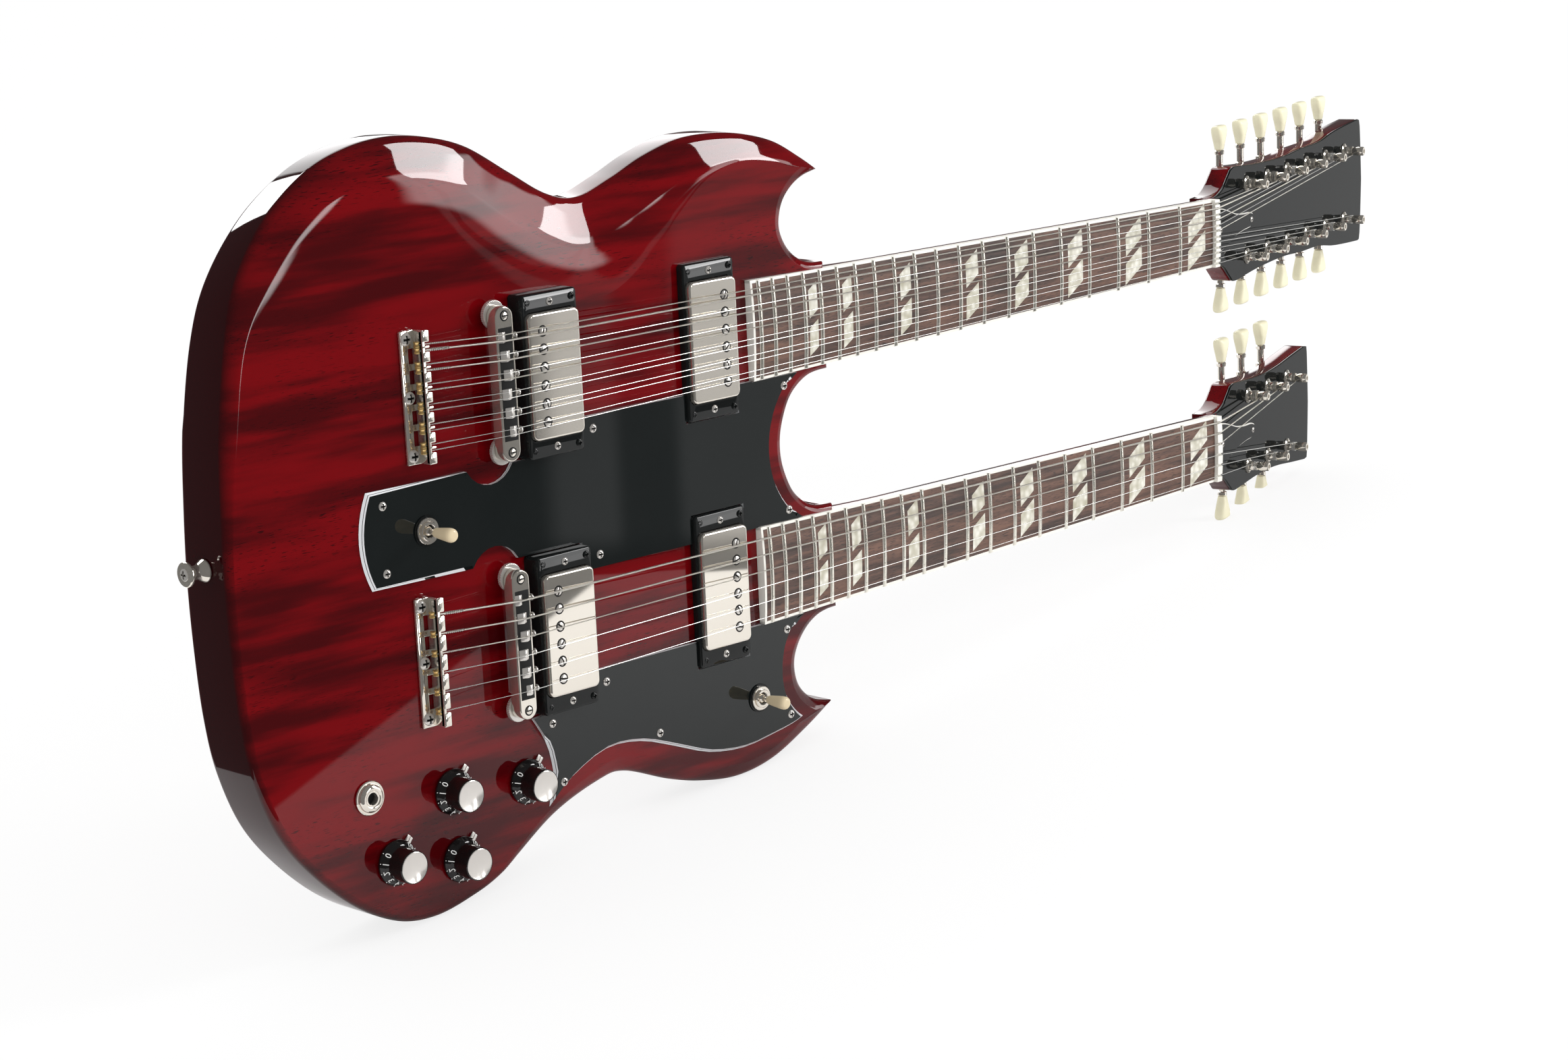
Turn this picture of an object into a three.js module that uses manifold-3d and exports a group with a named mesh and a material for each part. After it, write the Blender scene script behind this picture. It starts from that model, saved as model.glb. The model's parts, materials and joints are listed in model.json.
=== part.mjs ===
// A double-neck solid-body electric guitar: a twelve-string neck above a six-string neck.
// Millimetres. X runs from the tail strap button to the headstocks, Y from the front to the back,
// and Z up across the strings, as the guitar is held. X is zero at the end of the tail button,
// Y is zero at half the thickness of the body, and Z is zero midway between the two necks.

import * as THREE from 'three';
import { mergeVertices } from 'three/addons/utils/BufferGeometryUtils.js';
import Module from 'manifold-3d';

const wasm = await Module();
wasm.setup();

// Fits that every piece shares
const seat = 0.3; // gap between two pieces that touch on the real guitar
const overrun = 3; // how far a cutting tool runs past the surface that it opens
const weld = 0.0005; // vertices closer than this are one vertex

// Scale of the strings
const scaleLength = 628.65; // from the nut to the bridge line
const fretCount = 20;
const neckSpacing = 142; // between the centre lines of the two necks
const neckAngle = THREE.MathUtils.degToRad(2.5); // the necks lean back from the face
const headAngle = THREE.MathUtils.degToRad(14); // and the headstocks lean back from the necks

// Body
const body = {
  length: 435.7, // from the tail edge to the tips of the horns
  height: 418.5, // from the lower bout to the upper bout
  thickness: 38,
  edgeRound: 4, // plain rounding of the front and back edges
  frontBevel: 24, // widest bevel on the front, at the upper waist
  frontDrop: 8, // how far that bevel falls
  backBevel: 30, // widest bevel on the back, at the upper bout
  backDrop: 10,
  tongueWidth: 62.5, // the end of the body that carries one neck
  cutawayDepth: 32.5, // of the two outer cutaways
  middleDepth: 39, // of the cutaway between the necks
  lowerHornSetback: 5, // the lower horn is shorter than the upper one
  bridgeSetback: 256, // from the end of the tongues to the bridge line
};
const tailEdge = 14.3; // the tail button sticks out this far
const faceY = -body.thickness / 2;
const backY = body.thickness / 2;
const tongueEnd = tailEdge + body.length;
const bridgeLine = tongueEnd - body.bridgeSetback;

// Fingerboards
const board = {
  overhang: 6.4, // past the last fret
  nutWidth: 43.6,
  endWidth: 57.3,
  thickness: 5.7,
  lift: 5.3, // height of the crown above the face at the board's end
  crownRadius: 305,
};
const fret = { width: 2.6, height: 1.1 };
const nut = { length: 5, rise: 2, slotDepth: 1.1, slotWidth: 1.6 };

// Necks
const neck = {
  depth: 15, // of the wood under the board, at the nut
  heelDepth: 29,
  heelLength: 46,
  growth: 2.5, // the neck is this much deeper at the heel's start
  tenonWidth: 38,
  tenonDepth: 18,
  tenonSetback: 6, // from the neck pickup's ring to the tenon
};

// Headstocks
const head = {
  start: 4.6, // from the nut's board side to the edge of the face
  step: 5, // from the board's crown down to the face
  thickness: 15,
  plate: 1.8, // black veneer on the face
  waist: 34, // half of the least width
  twelveLength: 283.6,
  sixLength: 176,
  throatLength: 12,
};

// Tuners
const tuner = {
  firstPost: 62.5, // from the start of the face
  twelveMargin: 36.1, // from the last posts to the end of the head
  sixMargin: 41.5,
  postOffset: 24, // from the centre line
  postRadius: 3.1,
  postWaist: 2.4,
  postHeight: 15,
  wrapHeight: 6.5, // where the string meets the post
  bushingRadius: 5.2,
  bushingHeight: 1.4,
  housingLength: 16,
  housingWidth: 14,
  housingDepth: 8,
  shaftRadius: 2.3,
  collarRadius: 3.4,
  collarLength: 2,
  buttonStart: 46, // from the centre line
  buttonLength: 16,
  buttonWidth: 14.5,
  buttonThickness: 8,
};

// Strings
const strings = {
  courses: 6,
  nutSpread: 35.6,
  bridgeSpread: 50.5,
  tailSpread: 53,
  pairGap: 3.2, // between the two strings of one course of the twelve
  nutHeight: 2.35, // above the crown of the board
  saddleHeight: 18.3, // above the face
  tailHeight: 6.4,
};
const sixGauges = [1.2, 0.95, 0.7, 0.5, 0.42, 0.36];
const partnerGauges = [0.7, 0.55, 0.45, 0.36, 0.42, 0.36];

// Bridges
const bridge = {
  length: 83,
  width: 12,
  top: 15.2, // above the face
  depth: 7.6,
  postSpacing: 73,
  postRadius: 3,
  postDepth: 16, // below the face
  slotWidth: 8,
  wheelRadius: 7.7,
  wheelThickness: 2.4,
  wheelNotch: 0.7,
  saddleWidth: 7,
  saddleLength: 6.5,
  saddleFall: 1.4, // from a saddle's ridge to its shoulders
  screwRadius: 1.9,
  screwLength: 2,
};

// Tailpieces
const tail = {
  length: 70,
  reach: 20, // from the back of the flange to the front of the bar
  flange: 6,
  ramp: 5,
  height: 9.4,
  sheet: 1.9,
  setback: 64.5, // from the bridge line to the back of the twelve's flange
  sixShift: 2.5, // the six-string's plate sits this much nearer the tail
  windowWidth: 5,
  screwRadius: 2.9,
  screwRise: 1.3,
  screwInset: 5.4,
};

// Pickups
const pickup = {
  length: 68,
  width: 36,
  corner: 3.5,
  rise: 3.2, // of the cover above its ring
  depth: 15, // below the face
  bridgeOffset: 35.6, // from the bridge line to the middle of the bridge pickup
  neckOffset: 159, // and to the middle of the neck pickup
  poleSpread: 49,
  poleRadius: 2.4,
  poleRise: 0.6,
  poleInset: 9.5, // from the cover's edge
};
const ring = {
  length: 88.5,
  width: 40.2,
  corner: 2,
  bridgeHeight: 10.8,
  neckHeight: 4.5,
  slant: 1.2, // the top falls this much towards the neck
  draft: 0.6, // the walls draw in this much at the top
  screwRadius: 2,
  screwRise: 0.7,
  screwInset: 4.2,
};

// Pickguards
const guard = {
  thickness: 2.4,
  gap: 0.6, // round the rings and the boards
  tailReach: 95.4, // from the bridge line to the middle guard's tail end
  tailBow: 6.5,
  halfWidth: 26.2, // beside the tailpieces
  selectorSetback: 52.2, // from the bridge line to the neck selector
  edgeInset: 13.2, // from the middle cutaway to the guard's edge
  lowerInset: 16.5, // from the lower cutaway to the guard's edge
};

// Switches, knobs and sockets
const toggle = {
  washerRadius: 8.4,
  washerHeight: 1.6,
  nutRadius: 6,
  nutHeight: 3.4,
  sleeveRadius: 5.2,
  sleeveDepth: 9,
  boreRadius: 3.2,
  mouthRadius: 3.9,
  stemRadius: 1.5,
  ballRadius: 2.9,
  tail: 6,
  tipRadius: 4.1,
  tipStart: 9, // above the pivot
  tipTop: 18.5,
  pivotDepth: 1, // of the pivot above the guard
  cavityRadius: 13,
  cavityDepth: 27,
};
const knob = {
  skirtRadius: 12.7,
  skirtHeight: 2.2,
  shoulderRadius: 9.6,
  capRadius: 7.4,
  height: 16,
  dish: 0.5,
  float: 0.8, // clear of the face
  shaftRadius: 3.1,
  shaftDepth: 11,
};
const jack = {
  washerRadius: 9.4,
  washerHeight: 1.2,
  nutRadius: 7.4,
  nutHeight: 3.4,
  sleeveRadius: 5.6,
  sleeveDepth: 12,
  boreRadius: 3.3,
};
const strapButton = {
  flangeRadius: 7.6,
  flangeThickness: 2.4,
  waistRadius: 3.9,
  baseRadius: 6.4,
  baseThickness: 2,
  screwRadius: 2.3,
  screwLength: 14,
};
const rearCover = {
  thickness: 2,
  ledge: 5,
  roof: 8, // wood left in front of the control cavity
};

// Segments round a full turn
const fine = 16;
const middling = 12;
const coarse = 8;
const small = 6;

// Places on the face
const neckLines = { twelve: neckSpacing / 2, six: -neckSpacing / 2 };
const selectorPlace = { x: bridgeLine - guard.selectorSetback, z: 0 };
const toggleShares = { x: 0.838, down: 0.2877 };
const knobShares = [
  { name: 'knob_twelve_volume', x: 0.31, z: -0.347 },
  { name: 'knob_twelve_tone', x: 0.431, z: -0.363 },
  { name: 'knob_six_volume', x: 0.214, z: -0.418 },
  { name: 'knob_six_tone', x: 0.316, z: -0.44 },
];
const jackShares = { x: 0.18, z: -0.324 };
const heelButtonShares = { x: 0.955, z: 0.17 };

// Outer edge from the tip of the lower horn round the tail to the tip of the upper horn. Each row
// holds shares of the body's length and height, then of the widest front and back bevel.
const edgeShares = [
  [0.989, -0.379, 0.12, 0.12],
  [0.939, -0.409, 0.22, 0.4],
  [0.872, -0.438, 0.17, 0.5],
  [0.806, -0.448, 0.2, 0.5],
  [0.742, -0.44, 0.29, 0.5],
  [0.683, -0.423, 0.28, 0.5],
  [0.606, -0.393, 0.25, 0.5],
  [0.559, -0.395, 0.22, 0.4],
  [0.477, -0.422, 0.1, 0.25],
  [0.387, -0.477, 0, 0.05],
  [0.33, -0.498, 0, 0],
  [0.272, -0.508, 0, 0],
  [0.215, -0.499, 0, 0],
  [0.151, -0.462, 0, 0],
  [0.09, -0.404, 0, 0],
  [0.046, -0.343, 0, 0],
  [0.018, -0.268, 0, 0],
  [0.006, -0.196, 0, 0],
  [0.001, -0.11, 0, 0],
  [0, -0.02, 0, 0],
  [0.004, 0.07, 0.06, 0],
  [0.012, 0.165, 0.15, 0],
  [0.03, 0.27, 0.2, 0.15],
  [0.055, 0.343, 0.44, 0.4],
  [0.105, 0.412, 0.6, 0.7],
  [0.17, 0.461, 0.72, 0.9],
  [0.232, 0.484, 0.77, 1],
  [0.297, 0.491, 0.8, 1],
  [0.36, 0.483, 0.83, 1],
  [0.419, 0.464, 0.9, 0.95],
  [0.485, 0.425, 1, 0.85],
  [0.543, 0.391, 1, 0.8],
  [0.592, 0.381, 1, 0.8],
  [0.65, 0.399, 0.94, 0.8],
  [0.704, 0.421, 0.88, 0.8],
  [0.76, 0.436, 0.76, 0.75],
  [0.815, 0.4385, 0.6, 0.7],
  [0.87, 0.432, 0.44, 0.6],
  [0.925, 0.416, 0.32, 0.45],
  [0.97, 0.39, 0.16, 0.25],
  [1, 0.37, 0.12, 0.12],
];
const edgeSteps = 2; // samples between two rows
const cutawaySteps = 2;

// An outer cutaway from the corner of the tongue to the tip of its horn: shares of the cutaway's
// depth and of the way across.
const cutawayShares = [
  [0, 0],
  [0.25, 0.01],
  [0.5, 0.05],
  [0.74, 0.15],
  [0.91, 0.28],
  [1, 0.43],
  [0.98, 0.58],
  [0.87, 0.73],
  [0.65, 0.86],
  [0.36, 0.95],
  [0, 1],
];
// The middle cutaway from the lower tongue to the upper one, in the same shares
const middleShares = [
  [0, 0],
  [0.22, 0.005],
  [0.42, 0.025],
  [0.62, 0.08],
  [0.8, 0.17],
  [0.93, 0.3],
  [1, 0.43],
  [1, 0.57],
  [0.93, 0.7],
  [0.8, 0.83],
  [0.62, 0.92],
  [0.42, 0.975],
  [0.22, 0.995],
  [0, 1],
];
const cutawayBevelShare = 0.06; // of the widest front bevel, inside the cutaways

// Lower pickguard from the board's corner round its tail end: shares of the body's length, and of
// the way down from the rings to the body's lowest line
const lowerGuardShares = [
  [0.923, 0.4925],
  [0.905, 0.519],
  [0.87, 0.548],
  [0.81, 0.5795],
  [0.747, 0.5435],
  [0.686, 0.4415],
  [0.626, 0.348],
  [0.566, 0.332],
  [0.506, 0.4415],
  [0.465, 0.5815],
];
const lowerGuardTailShares = [
  [0.475, 0.3765],
  [0.47, 0.2475],
  [0.459, 0.132],
  [0.444, 0.025],
];

// Rear cover, round the backs of the knobs and the jack: shares of the body
const rearCoverShares = [
  [0.15, -0.345],
  [0.2, -0.3],
  [0.31, -0.295],
  [0.42, -0.305],
  [0.475, -0.335],
  [0.46, -0.39],
  [0.39, -0.43],
  [0.33, -0.47],
  [0.26, -0.475],
  [0.18, -0.43],
];

// Headstock outlines from the nut to the end: shares of the length, and half widths as shares of
// the waist's.
const twelveHeadShares = [
  [0.04, 0.66],
  [0.08, 0.77],
  [0.115, 0.98],
  [0.14, 1.1],
  [0.2, 1.075],
  [0.28, 1.03],
  [0.39, 1],
  [0.48, 1],
  [0.57, 1.04],
  [0.7, 1.06],
  [0.79, 1.16],
  [0.88, 1.22],
  [0.975, 1.265],
];
const sixHeadShares = [
  [0.06, 0.66],
  [0.12, 0.76],
  [0.17, 0.95],
  [0.205, 1.06],
  [0.3, 1.04],
  [0.42, 1],
  [0.55, 0.985],
  [0.68, 1.02],
  [0.82, 1.1],
  [0.96, 1.174],
];
const headEndShare = 0.985; // where the gently curved end meets the corners

// Heel: shares of its length, then how much of the extra depth is left
const heelShares = [
  [0, 1],
  [0.22, 0.86],
  [0.45, 0.52],
  [0.7, 0.18],
  [1, 0],
];

// Bell-shaped truss rod cover: shares of its length and of its half width
const bellShares = [
  [0, 1],
  [0.12, 0.98],
  [0.3, 0.78],
  [0.5, 0.52],
  [0.72, 0.4],
  [0.88, 0.36],
  [0.97, 0.22],
  [1, 0],
];
const bell = { start: 7, length: 65, halfWidth: 14, thickness: 2, screwRadius: 1.9, screwRise: 0.6 };

// Colours and surfaces
const cherry = finish(0x8c1420, 0.18, 0);
const rosewood = finish(0x4a3730, 0.6, 0);
const bone = finish(0xf2ede2, 0.45, 0);
const blackGloss = finish(0x14171a, 0.2, 0);
const blackPlastic = finish(0x1b1b1c, 0.4, 0);
const nickel = finish(0xd8d6d0, 0.16, 1);
const cream = finish(0xd9cf9f, 0.35, 0);

function finish(color, roughness, metalness) {
  return new THREE.MeshStandardMaterial({ color, roughness, metalness });
}

// Solids

// A closed solid from any closed geometry, with its faces turned out.
function solid(geometry) {
  const bare = geometry.clone();
  bare.deleteAttribute('normal');
  bare.deleteAttribute('uv');
  const merged = mergeVertices(bare, weld);
  const triangles = [];
  for (let i = 0; i < merged.index.count; i += 3) {
    const [a, b, c] = [0, 1, 2].map((corner) => merged.index.getX(i + corner));
    if (a !== b && b !== c && c !== a) triangles.push(a, b, c);
  }
  const vertProperties = merged.attributes.position.array;
  const make = (triVerts) => new wasm.Manifold(new wasm.Mesh({ numProp: 3, vertProperties, triVerts }));
  const made = make(new Uint32Array(triangles));
  return made.volume() < 0 ? make(new Uint32Array(triangles.reverse())) : made;
}

function geometryOf(manifold) {
  const { vertProperties, triVerts } = manifold.getMesh();
  const geometry = new THREE.BufferGeometry();
  geometry.setAttribute('position', new THREE.BufferAttribute(vertProperties, 3));
  geometry.setIndex(new THREE.BufferAttribute(triVerts, 1));
  geometry.computeVertexNormals();
  return geometry;
}

const joined = (pieces) => pieces.reduce((whole, piece) => whole.add(piece));
const cut = (whole, tools) => tools.reduce((left, tool) => left.subtract(tool), whole);

// Skins a row of rings that have equally many points, and closes both ends.
function loft(rings, flatten) {
  const count = rings[0].length;
  const points = rings.flat();
  const triangles = [];
  for (let band = 0; band < rings.length - 1; band++) {
    for (let i = 0; i < count; i++) {
      const a = band * count + i;
      const b = band * count + ((i + 1) % count);
      triangles.push([a, b, b + count], [a, b + count, a + count]);
    }
  }
  const last = count * (rings.length - 1);
  triangles.push(...endCap(rings[0], flatten, 0, -1));
  triangles.push(...endCap(rings[rings.length - 1], flatten, last, 1));
  const geometry = new THREE.BufferGeometry();
  geometry.setAttribute('position', new THREE.Float32BufferAttribute(points.flatMap((p) => p.toArray()), 3));
  geometry.setIndex(triangles.flat());
  return geometry;
}

// Triangles of one end of a loft, wound with the ring (+1) or against it (-1).
function endCap(ring, flatten, offset, turn) {
  const kept = ring.map((_, i) => i);
  const distinct = kept.filter((i) => ring[i].distanceTo(ring[(i + ring.length - 1) % ring.length]) > weld);
  const flat = distinct.map((i) => flatten(ring[i]));
  const way = Math.sign(THREE.ShapeUtils.area(flat)) * turn;
  return THREE.ShapeUtils.triangulateShape(flat, []).map((corners) => {
    const wound = Math.sign(THREE.ShapeUtils.area(corners.map((i) => flat[i]))) === way;
    const [a, b, c] = corners.map((i) => distinct[i] + offset);
    return wound ? [a, b, c] : [a, c, b];
  });
}

const acrossX = (p) => new THREE.Vector2(p.y, p.z);
const acrossY = (p) => new THREE.Vector2(p.x, p.z);

// A flat plate whose outline lies in X and Z, between two heights towards the front.
function plate(shape, bottom, top, curveSegments = 6) {
  const geometry = new THREE.ExtrudeGeometry(shape, {
    depth: top - bottom,
    bevelEnabled: false,
    curveSegments,
  });
  return geometry.rotateX(Math.PI / 2).translate(0, -bottom, 0);
}

// A turned piece whose profile holds radius and height towards the front.
function turned(profile, segments) {
  const points = profile.map(([radius, height]) => new THREE.Vector2(radius, height));
  return new THREE.LatheGeometry(points, segments).rotateX(Math.PI);
}

// The corner radius of a hole whose flat sides must clear the least radius
function acrossCorners(least, segments) {
  return least / Math.cos(Math.PI / segments);
}

function polygon(points) {
  return new THREE.Shape(points.map(([x, z]) => new THREE.Vector2(x, z)));
}

function roundedRectangle(width, height, radius) {
  const shape = new THREE.Shape();
  const x = width / 2;
  const z = height / 2;
  shape.moveTo(-x + radius, -z);
  shape.lineTo(x - radius, -z);
  shape.absarc(x - radius, -z + radius, radius, -Math.PI / 2, 0);
  shape.lineTo(x, z - radius);
  shape.absarc(x - radius, z - radius, radius, 0, Math.PI / 2);
  shape.lineTo(-x + radius, z);
  shape.absarc(-x + radius, z - radius, radius, Math.PI / 2, Math.PI);
  shape.lineTo(-x, -z + radius);
  shape.absarc(-x + radius, -z + radius, radius, Math.PI, Math.PI * 1.5);
  return shape;
}

// A block between two corners, given as [x, height, z] with the height towards the front.
function block(from, to) {
  const size = to.map((value, i) => Math.abs(value - from[i]));
  const middle = to.map((value, i) => (value + from[i]) / 2);
  return new THREE.BoxGeometry(...size).translate(middle[0], -middle[1], middle[2]);
}

// A smooth line through rows of numbers, with equally many samples between two rows.
function smoothRows(rows, steps) {
  const first = new THREE.SplineCurve(rows.map((row) => new THREE.Vector2(row[0], row[1])));
  const second = new THREE.SplineCurve(rows.map((row) => new THREE.Vector2(row[2] ?? 0, row[3] ?? 0)));
  const count = (rows.length - 1) * steps;
  return Array.from({ length: count + 1 }, (_, i) => {
    const a = first.getPoint(i / count);
    const b = second.getPoint(i / count);
    return [a.x, a.y, Math.max(b.x, 0), Math.max(b.y, 0)];
  });
}

const onBody = ([xShare, zShare]) => [tailEdge + body.length * xShare, body.height * zShare];

const underRings = ([xShare, downShare]) => {
  const top = neckLines.six - ring.length / 2;
  return [tailEdge + body.length * xShare, top - downShare * (body.height / 2 + top)];
};

// The body's outline with the width of the front and back bevels at each point

// One cutaway from a corner of a tongue to a horn's tip or to the next tongue. Its bevel grows from
// nothing at the tongue to the share given for its far end.
function cutawayPoints(shares, corner, tip, depth, tipShare) {
  return smoothRows(shares, cutawaySteps).map(([deep, along]) => {
    const bevel = cutawayBevelShare * Math.sin(Math.PI * along) + tipShare * along ** 2;
    const x = corner[0] + (tip[0] - corner[0]) * along - depth * deep;
    return [x, corner[1] + (tip[1] - corner[1]) * along, bevel, bevel];
  });
}

function bodyOutline() {
  const halfTongue = body.tongueWidth / 2;
  const corner = (line, side) => [tongueEnd, line + side * halfTongue];
  const lowerTip = [tongueEnd - body.lowerHornSetback, body.height * edgeShares[0][1]];
  const upperTip = [tongueEnd, body.height * edgeShares[edgeShares.length - 1][1]];
  const outer = smoothRows(edgeShares, edgeSteps).map(([x, z, front, back]) => {
    return [...onBody([x, z]), front, back];
  });
  outer[0] = [...lowerTip, outer[0][2], outer[0][3]];
  outer[outer.length - 1] = [...upperTip, outer[outer.length - 1][2], outer[outer.length - 1][3]];
  const tipShare = edgeShares[0][2];
  const outerCutaway = (from, tip) => cutawayPoints(cutawayShares, from, tip, body.cutawayDepth, tipShare);
  const upper = outerCutaway(corner(neckLines.twelve, 1), upperTip).reverse();
  const lower = outerCutaway(corner(neckLines.six, -1), lowerTip);
  const innerCorners = [corner(neckLines.six, 1), corner(neckLines.twelve, -1)];
  const middle = cutawayPoints(middleShares, ...innerCorners, body.middleDepth, 0).reverse();
  const stretches = [outer, upper, middle, lower];
  const corners = [];
  const rows = [];
  stretches.forEach((stretch, index) => {
    const starts = rows.length && near(rows[rows.length - 1], stretch[0]);
    if (starts) rows.pop();
    corners.push(rows.length);
    rows.push(...stretch);
    if (index === 1 || index === 2) corners.push(rows.length - 1);
  });
  if (near(rows[rows.length - 1], rows[0])) rows.pop();
  else corners.push(rows.length - 1);
  return { rows, corners };
}

const near = (a, b) => Math.hypot(a[0] - b[0], a[1] - b[1]) < weld;

// A ring of the body: the outline drawn in by a width of its own at each point. Beside a corner,
// points that would cross over to the other side of its mitre lie on the mitre's point.
function bodyRing({ rows, corners }, inset, depth) {
  const count = rows.length;
  const wrap = (i) => (i + count) % count;
  const at = (i) => new THREE.Vector2(rows[wrap(i)][0], rows[wrap(i)][1]);
  const width = (i) => inset(rows[wrap(i)]);
  const inward = (i) => {
    const way = at(i + 1).sub(at(i)).normalize();
    return new THREE.Vector2(way.y, -way.x);
  };
  const drawn = rows.map((_, i) => {
    const direction = inward(i - 1).add(inward(i)).normalize();
    return at(i).addScaledVector(direction, width(i));
  });
  corners.forEach((index) => {
    const corner = at(index);
    const mitre = mitrePoint(corner, inward(index - 1), inward(index), width(index - 1), width(index + 1));
    const axis = mitre.clone().sub(corner).normalize();
    [-1, 1].forEach((way) => {
      const side = Math.sign(axis.cross(at(index + way).sub(corner)));
      const crosses = (i) => axis.cross(drawn[wrap(i)].clone().sub(corner)) * side < weld;
      const reach = mitre.distanceTo(corner) > weld ? Math.floor(count / 8) : 0;
      for (let step = 1; step <= reach && crosses(index + way * step); step++) {
        drawn[wrap(index + way * step)] = mitre;
      }
    });
    drawn[index] = mitre;
  });
  return drawn.map((point, i) => new THREE.Vector3(point.x, depth(rows[i]), point.y));
}

// The point that lies the given widths inside both lines through a corner.
function mitrePoint(corner, before, after, widthBefore, widthAfter) {
  const turn = before.cross(after);
  return new THREE.Vector2(
    corner.x + (widthBefore * after.y - widthAfter * before.y) / turn,
    corner.y + (widthAfter * before.x - widthBefore * after.x) / turn,
  );
}

function bodyBlank() {
  const outline = bodyOutline();
  const lip = body.edgeRound * 0.3;
  const frontWidth = (row) => body.edgeRound + body.frontBevel * row[2];
  const backWidth = (row) => body.edgeRound + body.backBevel * row[3];
  const frontDrop = (row) => body.frontDrop * row[2];
  const backDrop = (row) => body.backDrop * row[3];
  const rings = [
    bodyRing(outline, frontWidth, () => faceY),
    bodyRing(outline, () => lip, (row) => faceY + frontDrop(row) + lip),
    bodyRing(outline, () => 0, (row) => faceY + frontDrop(row) + body.edgeRound),
    bodyRing(outline, () => 0, (row) => backY - backDrop(row) - body.edgeRound),
    bodyRing(outline, backWidth, () => backY),
  ];
  return solid(loft(rings, acrossY));
}

// Frames of the two necks. A neck's own frame has its origin on the crown of the board at the nut,
// +X towards the headstock and -Y out of the board.
const boardLength = fretDistance(fretCount) + board.overhang;
const nutPlace = {
  x: bridgeLine + scaleLength * Math.cos(neckAngle),
  y: faceY - board.lift + boardLength * Math.sin(neckAngle),
};

function fretDistance(number) {
  return scaleLength * (1 - 2 ** (-number / 12));
}

function neckGroup(line) {
  const group = new THREE.Group();
  group.position.set(nutPlace.x, nutPlace.y, line);
  group.rotation.z = neckAngle;
  group.updateMatrixWorld(true);
  return group;
}

function headGroup() {
  const group = new THREE.Group();
  group.position.set(head.start, head.step, 0);
  group.rotation.z = headAngle;
  group.updateMatrixWorld(true);
  return group;
}

const halfBoard = (x) => (board.nutWidth + ((board.endWidth - board.nutWidth) * -x) / boardLength) / 2;
const tongueInNeck = (tongueEnd - nutPlace.x) / Math.cos(neckAngle);
const boardBottom = board.thickness;
const neckTop = boardBottom + seat;

// Neck wood: shaft with a D-shaped back, heel, tenon and headstock

function neckSection(x, halfWidth, depth) {
  const steps = 8;
  return Array.from({ length: steps + 1 }, (_, i) => {
    const angle = (Math.PI * i) / steps;
    const y = neckTop + depth * Math.sin(angle) ** 0.75;
    return new THREE.Vector3(x, y, halfWidth * Math.cos(angle));
  });
}

function shaftDepth(x) {
  return neck.depth + neck.growth * Math.min(1, x / (tongueInNeck + neck.heelLength));
}

function neckShaft() {
  const heelEnd = tongueInNeck + neck.heelLength;
  const extra = neck.heelDepth - neck.depth - neck.growth;
  const heel = heelShares.map(([along, left]) => {
    const x = tongueInNeck + neck.heelLength * along;
    return neckSection(x, halfBoard(x), shaftDepth(Math.max(x, heelEnd)) + extra * left);
  });
  const buried = tongueInNeck - overrun;
  const rings = [
    neckSection(buried, halfBoard(buried), neck.heelDepth),
    ...heel,
    neckSection(heelEnd / 2, halfBoard(heelEnd / 2), shaftDepth(heelEnd / 2)),
    neckSection(0, halfBoard(0), neck.depth),
    neckSection(head.throatLength, halfBoard(0), neck.depth * 0.7),
  ];
  return solid(loft(rings, acrossX));
}

function headOutline(shares, length) {
  const half = board.nutWidth / 2;
  const side = shares.map(([along, wide]) => [length * along, head.waist * wide]);
  const corner = side[side.length - 1];
  const end = [
    [length * headEndShare, corner[1] * 0.93],
    [length, 0],
  ];
  const upper = [[0, half], ...side, end[0], [length * 0.996, corner[1] * 0.5], end[1]];
  const lower = upper.slice(0, -1).reverse().map(([along, wide]) => [along, -wide]);
  return [...upper, ...lower];
}

// Posts from the nut outwards, in pairs above and below the centre line
function posts(kind) {
  const count = kind === 'twelve' ? strings.courses : strings.courses / 2;
  const last = kind === 'twelve' ? head.twelveLength - tuner.twelveMargin : head.sixLength - tuner.sixMargin;
  const pitch = (last - tuner.firstPost) / (count - 1);
  return Array.from({ length: count }, (_, i) => tuner.firstPost + pitch * i).flatMap((along) => [
    { along, side: 1 },
    { along, side: -1 },
  ]);
}

function neckWood(kind, line) {
  const group = neckGroup(line);
  const trim = block(
    [-tongueEnd, -body.thickness, line - neckSpacing],
    [tongueEnd + seat, body.thickness, line + neckSpacing],
  ).applyMatrix4(group.matrixWorld.clone().invert());
  const place = headGroup().matrixWorld;
  const faceTrim = block(
    [nutClear() - seat, head.thickness, -head.waist],
    [head.twelveLength, -head.plate - seat, head.waist],
  ).applyMatrix4(place);
  const shaft = cut(neckShaft(), [solid(trim), solid(faceTrim)]);
  const tenon = block(
    [tenonStart(), -neckTop, -neck.tenonWidth / 2],
    [tongueInNeck + overrun, -neckTop - neck.tenonDepth, neck.tenonWidth / 2],
  );
  const shares = kind === 'twelve' ? twelveHeadShares : sixHeadShares;
  const length = kind === 'twelve' ? head.twelveLength : head.sixLength;
  const paddle = plate(polygon(headOutline(shares, length)), -head.thickness, -head.plate - seat);
  const housings = posts(kind).map(({ along, side }) => {
    const inner = side * (tuner.postOffset - tuner.housingWidth / 2);
    const outer = side * (tuner.postOffset + tuner.housingWidth / 2);
    const half = tuner.housingLength / 2;
    const back = -head.thickness - tuner.housingDepth;
    return solid(block([along - half, back, inner], [along + half, -head.thickness + weld, outer]));
  });
  const onHead = [solid(paddle), ...housings].map((piece) => solid(geometryOf(piece).applyMatrix4(place)));
  return geometryOf(joined([shaft, solid(tenon), ...onHead]));
}

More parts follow.
